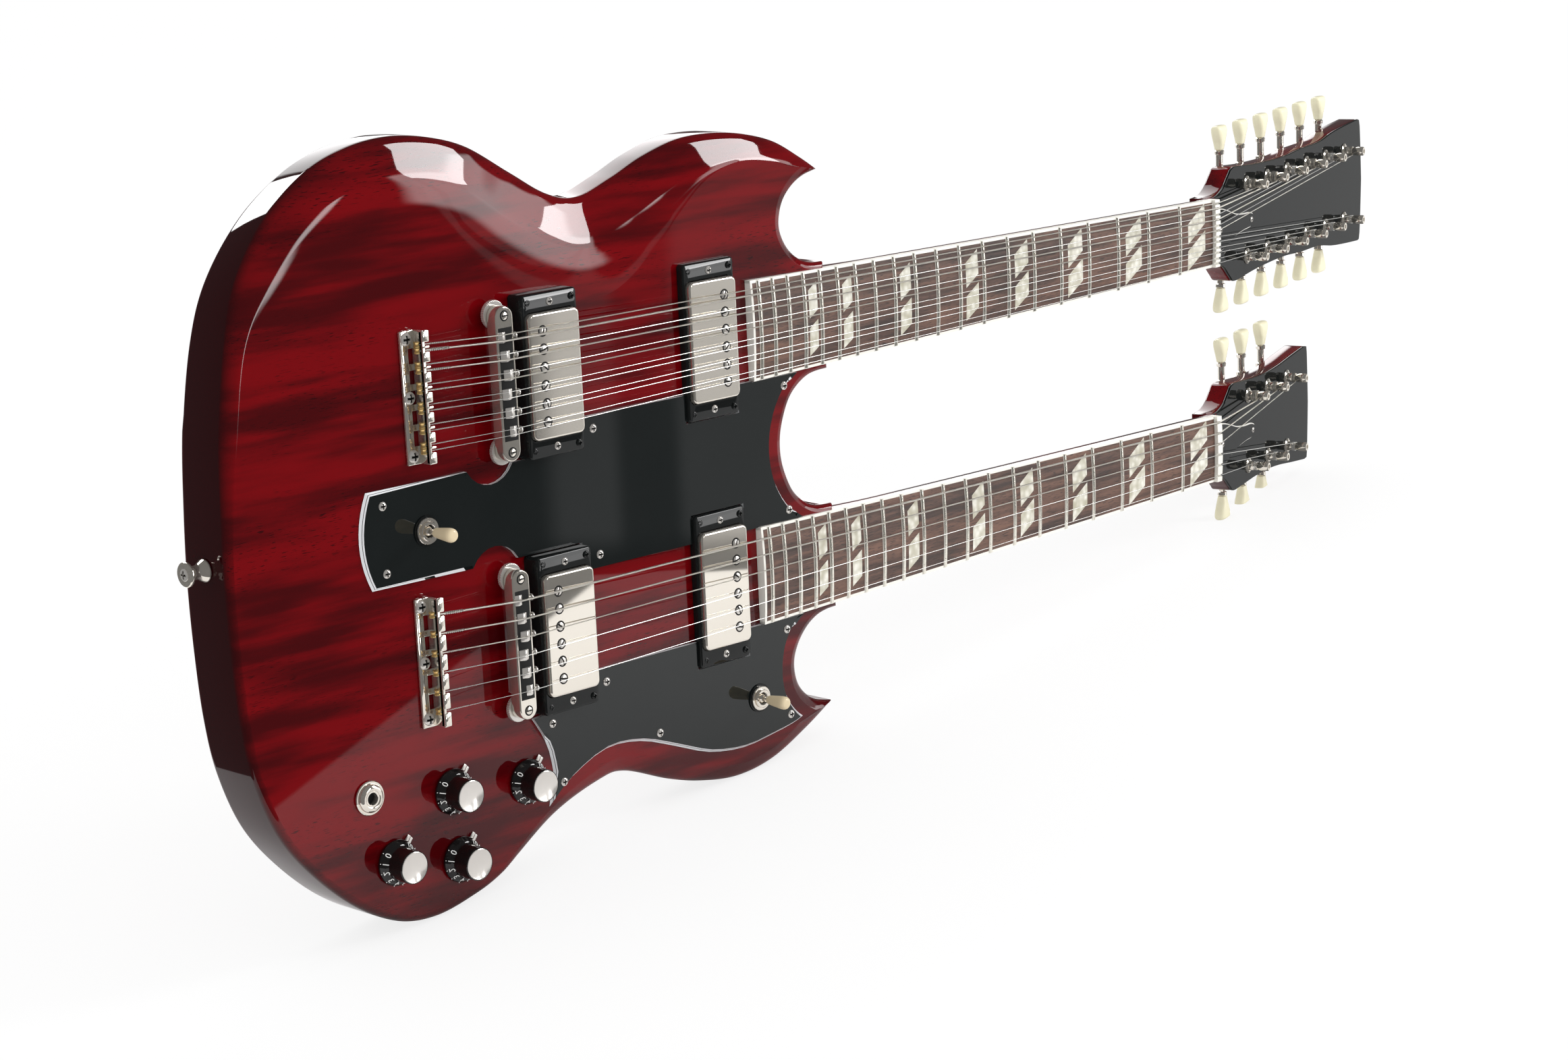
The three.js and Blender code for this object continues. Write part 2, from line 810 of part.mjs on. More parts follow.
const tenonStart = () => {
  const ringEnd = bridgeLine + pickup.neckOffset + ring.width / 2;
  return (ringEnd + neck.tenonSetback - nutPlace.x) / Math.cos(neckAngle);
};

// The slots that one neck needs in the body
function neckPocket(line) {
  const matrix = neckGroup(line).matrixWorld;
  const wide = neck.tenonWidth / 2 + seat;
  const mortise = block(
    [tenonStart() - seat, overrun, -wide],
    [tongueInNeck + overrun * 2, -neckTop - neck.tenonDepth - seat, wide],
  );
  const start = -boardLength - seat;
  const outside = tongueInNeck + overrun * 2;
  const recess = polygon([
    [start, halfBoard(start) + seat],
    [outside, halfBoard(outside) + seat],
    [outside, -halfBoard(outside) - seat],
    [start, -halfBoard(start) - seat],
  ]);
  const shelf = plate(recess, -boardBottom - seat, board.lift + overrun);
  return [mortise, shelf].map((tool) => solid(tool.applyMatrix4(matrix)));
}

// Fingerboard with its frets. Each ring holds the flat underside and the crowned top.

function boardSection(x, rise) {
  const half = halfBoard(x);
  const steps = 4;
  const crown = Array.from({ length: steps + 1 }, (_, i) => {
    const z = half - (2 * half * i) / steps;
    const fall = board.crownRadius - Math.sqrt(board.crownRadius ** 2 - z ** 2);
    return new THREE.Vector3(x, fall - rise, z);
  });
  return [new THREE.Vector3(x, boardBottom, half), ...crown, new THREE.Vector3(x, boardBottom, -half)];
}

function fingerboard() {
  const rings = [boardSection(-boardLength, 0)];
  for (let number = fretCount; number >= 1; number--) {
    const x = -fretDistance(number);
    rings.push(
      boardSection(x - fret.width / 2, 0),
      boardSection(x, fret.height),
      boardSection(x + fret.width / 2, 0),
    );
  }
  rings.push(boardSection(-seat / 2, 0));
  return geometryOf(solid(loft(rings, acrossX)));
}

// Strings: their places across the neck at the nut, the saddles and the tailpiece

function stringPlaces(kind) {
  const across = (spread, course) => spread / 2 - (spread * course) / (strings.courses - 1);
  return Array.from({ length: strings.courses }, (_, course) => course).flatMap((course) => {
    const spreads = [strings.nutSpread, strings.bridgeSpread, strings.tailSpread];
    const centre = spreads.map((spread) => across(spread, course));
    if (kind === 'six') return [{ course, centre, gauge: sixGauges[course] }];
    return [1, -1].map((side) => ({
      course,
      centre: centre.map((z) => z + (side * strings.pairGap) / 2),
      gauge: side > 0 ? partnerGauges[course] : sixGauges[course],
    }));
  });
}

function postOfString(kind, index, count) {
  const upper = index < count / 2;
  const number = upper ? index : count - 1 - index;
  return posts(kind)[number * 2 + (upper ? 0 : 1)];
}

// A thin round wire along points that run mostly in X; its rings lie square to X.
function wire(points, radius, sides) {
  const rings = points.map((point) =>
    Array.from({ length: sides }, (_, i) => {
      const angle = (2 * Math.PI * i) / sides;
      const around = new THREE.Vector3(0, Math.cos(angle), Math.sin(angle));
      return point.clone().addScaledVector(around, radius);
    }),
  );
  return loft(rings, acrossX);
}

function crownFall(z) {
  return board.crownRadius - Math.sqrt(board.crownRadius ** 2 - z ** 2);
}

function stringPath(kind, place, index, count, line) {
  const toBody = neckGroup(line).matrixWorld;
  const headToNeck = headGroup().matrixWorld;
  const [nutZ, bridgeZ, tailZ] = place.centre;
  const radius = place.gauge / 2;
  const post = postOfString(kind, index, count);
  const inner = post.side * (tuner.postOffset - tuner.postWaist - seat - radius);
  const anchor = tailFront(kind) - tail.sheet / 2;
  const saddle = saddleLine(place.course);
  return [
    new THREE.Vector3(anchor, faceY - strings.tailHeight, line + tailZ),
    new THREE.Vector3(saddle, faceY - strings.saddleHeight + crownFall(bridgeZ), line + bridgeZ),
    new THREE.Vector3(nut.length / 2, -strings.nutHeight + crownFall(nutZ), nutZ).applyMatrix4(toBody),
    new THREE.Vector3(post.along, -tuner.wrapHeight, inner).applyMatrix4(headToNeck).applyMatrix4(toBody),
  ];
}

function stringSolids(kind, line) {
  const places = stringPlaces(kind);
  return places.map((place, index) => {
    const path = stringPath(kind, place, index, places.length, line);
    return solid(wire(path, place.gauge / 2, 5));
  });
}

// Nut with a slot for each string
function nutPiece(kind) {
  const half = board.nutWidth / 2;
  const top = (z) => nut.rise - crownFall(z) + nut.slotDepth / 2;
  const points = [
    [-half, -boardBottom],
    [-half, top(half)],
  ];
  const slots = stringPlaces(kind).map((place) => place.centre[0]).reverse();
  slots.forEach((z) => {
    const side = nut.slotWidth / 2;
    const floor = strings.nutHeight - crownFall(z) - nut.slotDepth;
    points.push([z - side, top(z)], [z - side, floor], [z + side, floor], [z + side, top(z)]);
  });
  points.push([half, top(half)], [half, -boardBottom]);
  const shape = new THREE.Shape(points.map(([z, height]) => new THREE.Vector2(z, height)));
  const geometry = new THREE.ExtrudeGeometry(shape, { depth: nut.length, bevelEnabled: false });
  const turn = new THREE.Matrix4().makeBasis(
    new THREE.Vector3(0, 0, 1),
    new THREE.Vector3(0, -1, 0),
    new THREE.Vector3(1, 0, 0),
  );
  return geometryOf(solid(geometry.applyMatrix4(turn).translate(seat / 2, 0, 0)));
}

// Black veneer with the bushings and posts that stand on it
function headplate(kind) {
  const shares = kind === 'twelve' ? twelveHeadShares : sixHeadShares;
  const length = kind === 'twelve' ? head.twelveLength : head.sixLength;
  const outline = headOutline(shares, length).map(([along, wide]) => [Math.max(along, nutClear()), wide]);
  const veneer = solid(plate(polygon(outline), -head.plate, 0));
  const standing = posts(kind).map(({ along, side }) => {
    const profile = [
      [0, -head.plate / 2],
      [tuner.bushingRadius, -head.plate / 2],
      [tuner.bushingRadius, tuner.bushingHeight],
      [tuner.postRadius, tuner.bushingHeight],
      [tuner.postWaist, tuner.wrapHeight],
      [tuner.postRadius, tuner.postHeight],
      [0, tuner.postHeight],
    ];
    return solid(turned(profile, coarse).translate(along, 0, side * tuner.postOffset));
  });
  return geometryOf(joined([veneer, ...standing]));
}

const nutClear = () => nut.length + seat * 2 - head.start + head.step * Math.sin(headAngle);

function trussCover() {
  const upper = bellShares.map(([along, wide]) => [bell.start + bell.length * along, bell.halfWidth * wide]);
  const lower = upper.slice(0, -1).reverse().map(([along, wide]) => [along, -wide]);
  const sheet = solid(plate(polygon([...upper, ...lower]), seat, seat + bell.thickness));
  const screw = turned(
    [
      [0, bell.thickness / 2],
      [bell.screwRadius, bell.thickness / 2],
      [bell.screwRadius, seat + bell.thickness],
      [bell.screwRadius * 0.6, seat + bell.thickness + bell.screwRise],
      [0, seat + bell.thickness + bell.screwRise],
    ],
    coarse,
  ).translate(bell.start + bell.length * 0.9, 0, 0);
  return geometryOf(sheet.add(solid(screw)));
}

// Tuner key: worm shaft, collar and a tulip-shaped button, with the shaft along +Z
function tunerKey() {
  const start = tuner.postOffset + tuner.housingWidth / 2 + seat;
  const shaft = new THREE.LatheGeometry(
    [
      [0, start],
      [tuner.collarRadius, start],
      [tuner.collarRadius, start + tuner.collarLength],
      [tuner.shaftRadius, start + tuner.collarLength],
      [tuner.shaftRadius, tuner.buttonStart + tuner.buttonLength * 0.1],
      [0, tuner.buttonStart + tuner.buttonLength * 0.1],
    ].map(([radius, along]) => new THREE.Vector2(radius, along)),
    small,
  ).rotateX(Math.PI / 2);
  const slices = [
    [0, 0.45, 0.7],
    [0.5, 0.8, 0.95],
    [0.85, 1, 1],
    [1, 0.86, 0.7],
  ];
  const rings = slices.map(([along, wide, thick]) => {
    const x = (tuner.buttonWidth / 2) * wide;
    const y = (tuner.buttonThickness / 2) * thick;
    const z = tuner.buttonStart + tuner.buttonLength * along;
    const corner = 0.6;
    return [
      [x, -y * corner],
      [x, y * corner],
      [x * corner, y],
      [-x * corner, y],
      [-x, y * corner],
      [-x, -y * corner],
      [-x * corner, -y],
      [x * corner, -y],
    ].map(([px, py]) => new THREE.Vector3(px, py, z));
  });
  const button = loft(rings, (p) => new THREE.Vector2(p.x, p.y));
  return geometryOf(solid(shaft).add(solid(button)));
}

// Bridge: bar, two posts, six saddles and their screws, in a frame on the face at the bridge line

const saddleShares = [-0.9, -0.35, 0.15, -0.5, 0, 0.55]; // of half the bar's spare width
const saddleStep = (course) => (saddleShares[course] * (bridge.width - bridge.saddleLength)) / 2;
const saddleLine = (course) => bridgeLine + saddleStep(course);

function bridgePiece() {
  const radius = bridge.width / 2;
  const half = bridge.length / 2 - radius;
  const outline = new THREE.Shape();
  outline.moveTo(radius, -half);
  outline.lineTo(radius, half);
  outline.absarc(0, half, radius, 0, Math.PI);
  outline.lineTo(-radius, -half);
  outline.absarc(0, -half, radius, Math.PI, Math.PI * 2);
  const bar = solid(plate(outline, bridge.top - bridge.depth, bridge.top, 6));
  const slot = solid(
    block(
      [-bridge.slotWidth / 2, bridge.top - bridge.depth / 3, -strings.bridgeSpread / 2 - bridge.saddleWidth],
      [bridge.slotWidth / 2, bridge.top + overrun, strings.bridgeSpread / 2 + bridge.saddleWidth],
    ),
  );
  const postTools = [1, -1].map((side) =>
    solid(
      turned(
        [
          [0, -bridge.postDepth],
          [bridge.postRadius, -bridge.postDepth],
          [bridge.postRadius, bridge.top - bridge.depth / 2],
          [0, bridge.top - bridge.depth / 2],
        ],
        middling,
      ).translate(0, 0, (side * bridge.postSpacing) / 2),
    ),
  );
  const saddles = Array.from({ length: strings.courses }, (_, course) => {
    const z = strings.bridgeSpread / 2 - (strings.bridgeSpread * course) / (strings.courses - 1);
    return [solid(saddlePiece(course, z)), solid(saddleScrew(z))];
  }).flat();
  return geometryOf(joined([cut(bar, [slot]), ...postTools, ...saddles]));
}

// A saddle: a small block with a ridge under the string
function saddlePiece(course, z) {
  const middle = saddleStep(course);
  const half = bridge.saddleLength / 2;
  const floor = bridge.top - bridge.depth / 2;
  const ridge = strings.saddleHeight - crownFall(z) - sixGauges[0] / 2 - seat;
  const shoulder = ridge - bridge.saddleFall;
  const profile = new THREE.Shape([
    new THREE.Vector2(middle - half, floor),
    new THREE.Vector2(middle + half, floor),
    new THREE.Vector2(middle + half, shoulder),
    new THREE.Vector2(middle, ridge),
    new THREE.Vector2(middle - half, shoulder),
  ]);
  const geometry = new THREE.ExtrudeGeometry(profile, { depth: bridge.saddleWidth, bevelEnabled: false });
  return geometry.rotateX(Math.PI).translate(0, 0, z + bridge.saddleWidth / 2);
}

function saddleScrew(z) {
  const radius = bridge.screwRadius;
  const geometry = new THREE.CylinderGeometry(radius, radius, bridge.screwLength * 2, small);
  return geometry.rotateZ(Math.PI / 2).translate(bridge.width / 2, -bridge.top + bridge.depth / 2, z);
}

// Height wheel round a post, with a milled edge
function heightWheel() {
  const top = bridge.top - bridge.depth - seat;
  const teeth = fine;
  const outline = polygon(
    Array.from({ length: teeth * 2 }, (_, i) => {
      const radius = bridge.wheelRadius - (i % 2) * bridge.wheelNotch;
      const angle = (Math.PI * i) / teeth;
      return [radius * Math.cos(angle), radius * Math.sin(angle)];
    }),
  );
  const hole = new THREE.Path();
  hole.absarc(0, 0, bridge.postRadius + seat, 0, Math.PI * 2, true);
  outline.holes.push(hole);
  return geometryOf(solid(plate(outline, top - bridge.wheelThickness, top, 8)));
}

// Tailpiece: a folded sheet with windows between the strings, and its strings

const tailStart = (kind) => bridgeLine - tail.setback - (kind === 'six' ? tail.sixShift : 0);
const tailFront = (kind) => tailStart(kind) + tail.reach;

function tailpiece(kind, line) {
  const start = tailStart(kind);
  const top = tail.height;
  const inner = top - tail.sheet;
  const rampEnd = tail.flange + tail.ramp;
  const outline = [
    [0, seat],
    [0, seat + tail.sheet],
    [tail.flange, seat + tail.sheet],
    [rampEnd, top],
    [tail.reach, top],
    [tail.reach, seat],
    [tail.reach - tail.sheet, seat],
    [tail.reach - tail.sheet, inner],
    [rampEnd + tail.sheet / 2, inner],
    [tail.flange + tail.sheet / 2, seat],
  ];
  const section = polygon(outline);
  const folded = new THREE.ExtrudeGeometry(section, { depth: tail.length, bevelEnabled: false })
    .rotateX(Math.PI)
    .translate(start, faceY, line + tail.length / 2);
  const pitch = strings.tailSpread / (strings.courses - 1);
  const windows = Array.from({ length: strings.courses - 1 }, (_, i) => {
    const z = line + strings.tailSpread / 2 - pitch * (i + 0.5);
    const tool = block(
      [start + tail.flange + tail.sheet / 2, seat + tail.sheet, z - tail.windowWidth / 2],
      [start + rampEnd + tail.ramp / 2, top + overrun, z + tail.windowWidth / 2],
    );
    return solid(tool.translate(0, faceY, 0));
  });
  const screws = [-1, 0, 1].map((side) =>
    solid(
      turned(
        [
          [0, tail.sheet / 2],
          [tail.screwRadius, tail.sheet / 2],
          [tail.screwRadius, seat + tail.sheet + tail.screwRise / 3],
          [tail.screwRadius * 0.6, seat + tail.sheet + tail.screwRise],
          [0, seat + tail.sheet + tail.screwRise],
        ],
        coarse,
      ).translate(start + tail.flange / 2, faceY, line + side * (tail.length / 2 - tail.screwInset)),
    ),
  );
  const sheet = cut(solid(folded), windows);
  return geometryOf(joined([sheet, ...screws, ...stringSolids(kind, line)]));
}

// Pickups and their rings, in a frame on the face at the middle of the pickup

function pickupPiece(height, side) {
  const top = height + pickup.rise;
  const cover = roundedRectangle(pickup.width, pickup.length, pickup.corner);
  const can = solid(plate(cover, -pickup.depth, top, 2));
  const x = side * (pickup.width / 2 - pickup.poleInset);
  const poles = Array.from({ length: strings.courses }, (_, i) => {
    const z = pickup.poleSpread / 2 - (pickup.poleSpread * i) / (strings.courses - 1);
    const radius = pickup.poleRadius;
    const pole = new THREE.CylinderGeometry(radius, radius, pickup.poleRise * 2, small);
    return solid(pole.translate(x, -top, z));
  });
  return geometryOf(joined([can, ...poles]));
}

function ringPiece(height) {
  const outline = roundedRectangle(ring.width, ring.length, ring.corner);
  const window = roundedRectangle(pickup.width + seat * 2, pickup.length + seat * 2, pickup.corner + seat);
  outline.holes.push(new THREE.Path(window.getPoints(2).reverse()));
  const geometry = plate(outline, seat, height, 2);
  const place = geometry.attributes.position;
  for (let i = 0; i < place.count; i++) {
    const isTop = -place.getY(i) > (seat + height) / 2;
    const isOuter = Math.abs(place.getZ(i)) > pickup.length / 2 + pickup.corner;
    if (isTop) place.setY(i, place.getY(i) + (ring.slant * place.getX(i)) / ring.width);
    if (isTop && isOuter) place.setZ(i, place.getZ(i) - Math.sign(place.getZ(i)) * ring.draft);
  }
  const screws = [1, -1].flatMap((sideX) =>
    [1, -1].map((sideZ) => {
      const x = sideX * (ring.width / 2 - ring.screwInset);
      const level = height - (ring.slant * x) / ring.width;
      const radius = ring.screwRadius;
      const screw = new THREE.CylinderGeometry(radius, radius, ring.screwRise * 2, small);
      return solid(screw.translate(x, -level, sideZ * (ring.length / 2 - ring.screwInset)));
    }),
  );
  return geometryOf(joined([solid(geometry), ...screws]));
}

const pickupSpots = Object.entries(neckLines).flatMap(([kind, line]) => [
  {
    name: `${kind}_bridge`,
    line,
    x: bridgeLine + pickup.bridgeOffset,
    height: ring.bridgeHeight,
    side: -1,
  },
  { name: `${kind}_neck`, line, x: bridgeLine + pickup.neckOffset, height: ring.neckHeight, side: 1 },
]);

function ringClearance({ x, line }, extra) {
  const halfX = ring.width / 2 + extra;
  const halfZ = ring.length / 2 + extra;
  return solid(
    block(
      [x - halfX, -body.thickness, line - halfZ],
      [x + halfX, body.thickness, line + halfZ],
    ),
  );
}

function boardClearance(line, extra) {
  const end = -boardLength - extra;
  const outline = polygon([
    [end, halfBoard(end) + extra],
    [0, halfBoard(0) + extra],
    [0, -halfBoard(0) - extra],
    [end, -halfBoard(end) - extra],
  ]);
  return solid(plate(outline, -body.thickness, body.thickness).applyMatrix4(neckGroup(line).matrixWorld));
}

// Pickguards: the outline is cut back round the rings, the boards and the bridge ends

const guardHole = (place) =>
  solid(
    turned(
      [
        [0, -overrun],
        [acrossCorners(toggle.sleeveRadius + seat, middling), -overrun],
        [acrossCorners(toggle.sleeveRadius + seat, middling), guard.thickness + overrun],
        [0, guard.thickness + overrun],
      ],
      middling,
    ).translate(place.x, faceY, place.z),
  );

function guardPlate(outline, holes) {
  const sheet = plate(outline, seat, seat + guard.thickness, 10).translate(0, faceY, 0);
  const clearances = [
    ...pickupSpots.map((spot) => ringClearance(spot, guard.gap)),
    ...Object.values(neckLines).map((line) => boardClearance(line, guard.gap)),
  ];
  return geometryOf(cut(solid(sheet), [...clearances, ...holes]));
}

function middleGuard() {
  const innerEdge = neckSpacing / 2 - board.endWidth / 2;
  const wheelZ = neckSpacing / 2 - bridge.postSpacing / 2;
  const scoop = bridge.wheelRadius * 2.3;
  const reach = bridge.wheelRadius * 2.35;
  const cutawayFar = tongueEnd - body.middleDepth;
  const rightEdge = cutawayFar - guard.edgeInset;
  const sag = body.middleDepth * 0.6;
  const bow = (innerEdge ** 2 + sag ** 2) / (2 * sag);
  const swing = Math.asin(innerEdge / bow);
  const shape = new THREE.Shape();
  const ringTail = bridgeLine + pickup.bridgeOffset;
  shape.moveTo(ringTail, innerEdge);
  shape.lineTo(rightEdge + sag, innerEdge);
  shape.absarc(rightEdge + bow, 0, bow, Math.PI - swing, Math.PI + swing, false);
  shape.lineTo(ringTail, -innerEdge);
  shape.lineTo(ringTail, -guard.halfWidth);
  const tailEnd = bridgeLine - guard.tailReach;
  shape.lineTo(tailEnd + guard.tailBow, -guard.halfWidth);
  shape.quadraticCurveTo(tailEnd - guard.tailBow, 0, tailEnd + guard.tailBow, guard.halfWidth);
  shape.lineTo(ringTail, guard.halfWidth);
  const scoops = [1, -1].map((side) =>
    solid(
      plate(
        new THREE.Shape().absellipse(0, 0, reach, scoop, 0, Math.PI * 2),
        -overrun,
        body.thickness,
        middling,
      ).translate(bridgeLine - bridge.width / 2, faceY, side * wheelZ),
    ),
  );
  return guardPlate(shape, [...scoops, guardHole(selectorPlace)]);
}

function lowerGuard() {
  const edge = neckLines.six - board.endWidth / 2;
  const bottom = smoothRows(lowerGuardShares, 3).map(underRings);
  const tailSide = smoothRows(lowerGuardTailShares, 2).map(underRings);
  const cutawayFar = tongueEnd - body.cutawayDepth - guard.lowerInset;
  const right = tongueEnd - body.tongueWidth / 2;
  const shape = new THREE.Shape();
  shape.moveTo(bridgeLine + pickup.bridgeOffset, edge);
  shape.lineTo(right, edge);
  shape.quadraticCurveTo(cutawayFar, edge - body.cutawayDepth / 3, cutawayFar, edge - body.cutawayDepth);
  shape.quadraticCurveTo(cutawayFar, bottom[0][1] + body.cutawayDepth / 3, bottom[0][0], bottom[0][1]);
  [...bottom.slice(1), ...tailSide].forEach(([x, z]) => shape.lineTo(x, z));
  shape.lineTo(bridgeLine + pickup.bridgeOffset, neckLines.six - ring.length / 2);
  return guardPlate(shape, [guardHole(togglePlace)]);
}

const [toggleX, toggleZ] = underRings([toggleShares.x, toggleShares.down]);
const togglePlace = { x: toggleX, z: toggleZ };

// Switches: a threaded bushing with a washer and a nut, and the lever that tilts in it

function switchBushing() {
  const floor = seat * 2 + guard.thickness;
  const washer = floor + toggle.washerHeight;
  const top = floor + toggle.nutHeight;
  const profile = [
    [toggle.boreRadius, -toggle.sleeveDepth],
    [toggle.sleeveRadius, -toggle.sleeveDepth],
    [toggle.sleeveRadius, floor],
    [toggle.washerRadius, floor],
    [toggle.washerRadius, washer],
    [toggle.nutRadius, washer],
    [toggle.nutRadius, top],
    [toggle.mouthRadius, top],
    [toggle.boreRadius, washer],
    [toggle.boreRadius, -toggle.sleeveDepth],
  ];
  return geometryOf(solid(turned(profile, fine)));
}

function switchLever() {
  const ball = toggle.ballRadius;
  const stem = toggle.stemRadius;
  const start = Math.asin(stem / ball);
  const ballPoints = Array.from({ length: 5 }, (_, i) => {
    const angle = start + ((Math.PI - 2 * start) * i) / 4;
    return [ball * Math.sin(angle), -ball * Math.cos(angle)];
  });
  const tip = toggle.tipTop - toggle.tipStart;
  const profile = [
    [0, -toggle.tail],
    [stem, -toggle.tail],
    ...ballPoints,
    [stem, toggle.tipStart],
    [toggle.tipRadius * 0.62, toggle.tipStart],
    [toggle.tipRadius, toggle.tipStart + tip * 0.6],
    [toggle.tipRadius * 0.93, toggle.tipStart + tip * 0.85],
    [toggle.tipRadius * 0.6, toggle.tipTop - tip * 0.03],
    [0, toggle.tipTop],
  ];
  return geometryOf(solid(turned(profile, middling)));
}

// Knob shaped like a top hat, on its shaft
function knobPiece() {
  const { float: low, height } = knob;
  const profile = [
    [0, -knob.shaftDepth],
    [knob.shaftRadius, -knob.shaftDepth],
    [knob.shaftRadius, low],
    [knob.skirtRadius, low],
    [knob.skirtRadius, low + knob.skirtHeight * 0.4],
    [knob.skirtRadius * 0.96, low + knob.skirtHeight],
    [knob.shoulderRadius, low + knob.skirtHeight * 1.9],
    [(knob.shoulderRadius + knob.capRadius) / 2, low + knob.skirtHeight * 2.7],
    [knob.capRadius, low + knob.skirtHeight * 3.6],
    [knob.capRadius, height - knob.dish],
    [knob.capRadius - knob.dish, height],
    [knob.capRadius - knob.dish * 2, height - knob.dish / 2],
    [0, height - knob.dish / 2],
  ];
  return geometryOf(solid(turned(profile, fine)));
}

function outputJack() {
  const profile = [
    [jack.boreRadius, -jack.sleeveDepth],
    [jack.sleeveRadius, -jack.sleeveDepth],
    [jack.sleeveRadius, seat],
    [jack.washerRadius, seat],
    [jack.washerRadius, seat + jack.washerHeight],
    [jack.nutRadius, seat + jack.washerHeight],
    [jack.nutRadius, seat + jack.nutHeight],
    [jack.boreRadius, seat + jack.nutHeight],
    [jack.boreRadius, -jack.sleeveDepth],
  ];
  return geometryOf(solid(turned(profile, fine)));
}

// Strap button with its screw, standing on a face at height zero
function buttonPiece(height) {
  const flange = height - strapButton.flangeThickness;
  const base = seat + strapButton.baseThickness;
  const profile = [
    [0, -strapButton.screwLength],
    [strapButton.screwRadius, -strapButton.screwLength],
    [strapButton.screwRadius, seat],
    [strapButton.baseRadius, seat],
    [strapButton.baseRadius * 0.9, base],
    [strapButton.waistRadius, base + (flange - base) * 0.45],
    [strapButton.waistRadius, base + (flange - base) * 0.7],
    [strapButton.flangeRadius, flange],
    [strapButton.flangeRadius, height - strapButton.flangeThickness * 0.2],
    [strapButton.flangeRadius * 0.93, height],
    [0, height],
  ];
  return geometryOf(solid(turned(profile, middling)));
}

// Rear cover, and the cavity that it closes

// The cover's outline, drawn in by a width all round
function coverOutline(inset) {
  const points = rearCoverShares.map((row) => new THREE.Vector2(...onBody(row)));
  const sum = points.reduce((total, point) => total.add(point), new THREE.Vector2());
  const centre = sum.divideScalar(points.length);
  const drawn = points.map((point) => {
    const reach = point.distanceTo(centre);
    return point.clone().lerp(centre, inset / reach);
  });
  const round = new THREE.CatmullRomCurve3(drawn.map((p) => new THREE.Vector3(p.x, p.y, 0)), true);
  return polygon(round.getPoints(points.length * 2).slice(0, -1).map((p) => [p.x, p.y]));
}

function rearCoverPiece() {
  return plate(coverOutline(seat), 0, rearCover.thickness).translate(0, backY, 0);
}

function controlCavity() {
  const recess = plate(coverOutline(0), -overrun, rearCover.thickness + seat);
  const cavity = plate(coverOutline(rearCover.ledge), -overrun, body.thickness - rearCover.roof);
  return [recess, cavity].map((tool) => solid(tool.translate(0, backY, 0)));
}

// A round hole from the front face down
function hole(x, z, least, depth, segments = coarse) {
  const radius = acrossCorners(least, segments);
  const profile = [
    [0, -depth],
    [radius, -depth],
    [radius, overrun],
    [0, overrun],
  ];
  return solid(turned(profile, segments).translate(x, faceY, z));
}

const knobPlaces = knobShares.map(({ name, x, z }) => {
  const [placeX, placeZ] = onBody([x, z]);
  return { name, x: placeX, z: placeZ };
});
const [jackX, jackZ] = onBody([jackShares.x, jackShares.z]);
const [heelX, heelZ] = onBody([heelButtonShares.x, heelButtonShares.z]);

function pickupCavity({ x, line }) {
  const width = pickup.width + seat * 8;
  const length = pickup.length + ring.screwInset;
  const tool = plate(roundedRectangle(width, length, pickup.corner), -pickup.depth - overrun, overrun, 2);
  return solid(tool.translate(x, faceY, line));
}

function bodyPiece() {
  const tailScrew = turned(
    [
      [0, -strapButton.screwLength - seat],
      [acrossCorners(strapButton.screwRadius + seat, middling), -strapButton.screwLength - seat],
      [acrossCorners(strapButton.screwRadius + seat, middling), overrun],
      [0, overrun],
    ],
    middling,
  );
  const towardsTail = tailScrew.clone().rotateZ(-Math.PI / 2).translate(tailEdge, 0, 0);
  const towardsBack = tailScrew.clone().rotateX(Math.PI).translate(heelX, backY, heelZ);
  const tools = [
    ...Object.values(neckLines).flatMap(neckPocket),
    ...pickupSpots.map(pickupCavity),
    ...controlCavity(),
    ...knobPlaces.map(({ x, z }) => hole(x, z, knob.shaftRadius + seat, body.thickness / 2)),
    hole(jackX, jackZ, jack.sleeveRadius + seat, body.thickness / 2),
    hole(selectorPlace.x, selectorPlace.z, toggle.cavityRadius, toggle.cavityDepth, middling),
    hole(togglePlace.x, togglePlace.z, toggle.cavityRadius, toggle.cavityDepth, middling),
    ...Object.values(neckLines).flatMap((line) =>
      [1, -1].map((side) => {
        const z = line + (side * bridge.postSpacing) / 2;
        return hole(bridgeLine, z, bridge.postRadius + seat, bridge.postDepth + seat);
      }),
    ),
    solid(towardsTail),
    solid(towardsBack),
  ];
  return geometryOf(cut(bodyBlank(), tools));
}

// Assembly

const guitar = new THREE.Group();

function place(name, geometry, material, parent = guitar, position = [0, 0, 0]) {
  const mesh = new THREE.Mesh(geometry, material);
  mesh.name = name;
  mesh.position.set(...position);
  parent.add(mesh);
  return mesh;
}

place('body', bodyPiece(), cherry);
place('rear_cover', rearCoverPiece(), blackPlastic);
place('pickguard_middle', middleGuard(), blackGloss);
place('pickguard_lower', lowerGuard(), blackGloss);

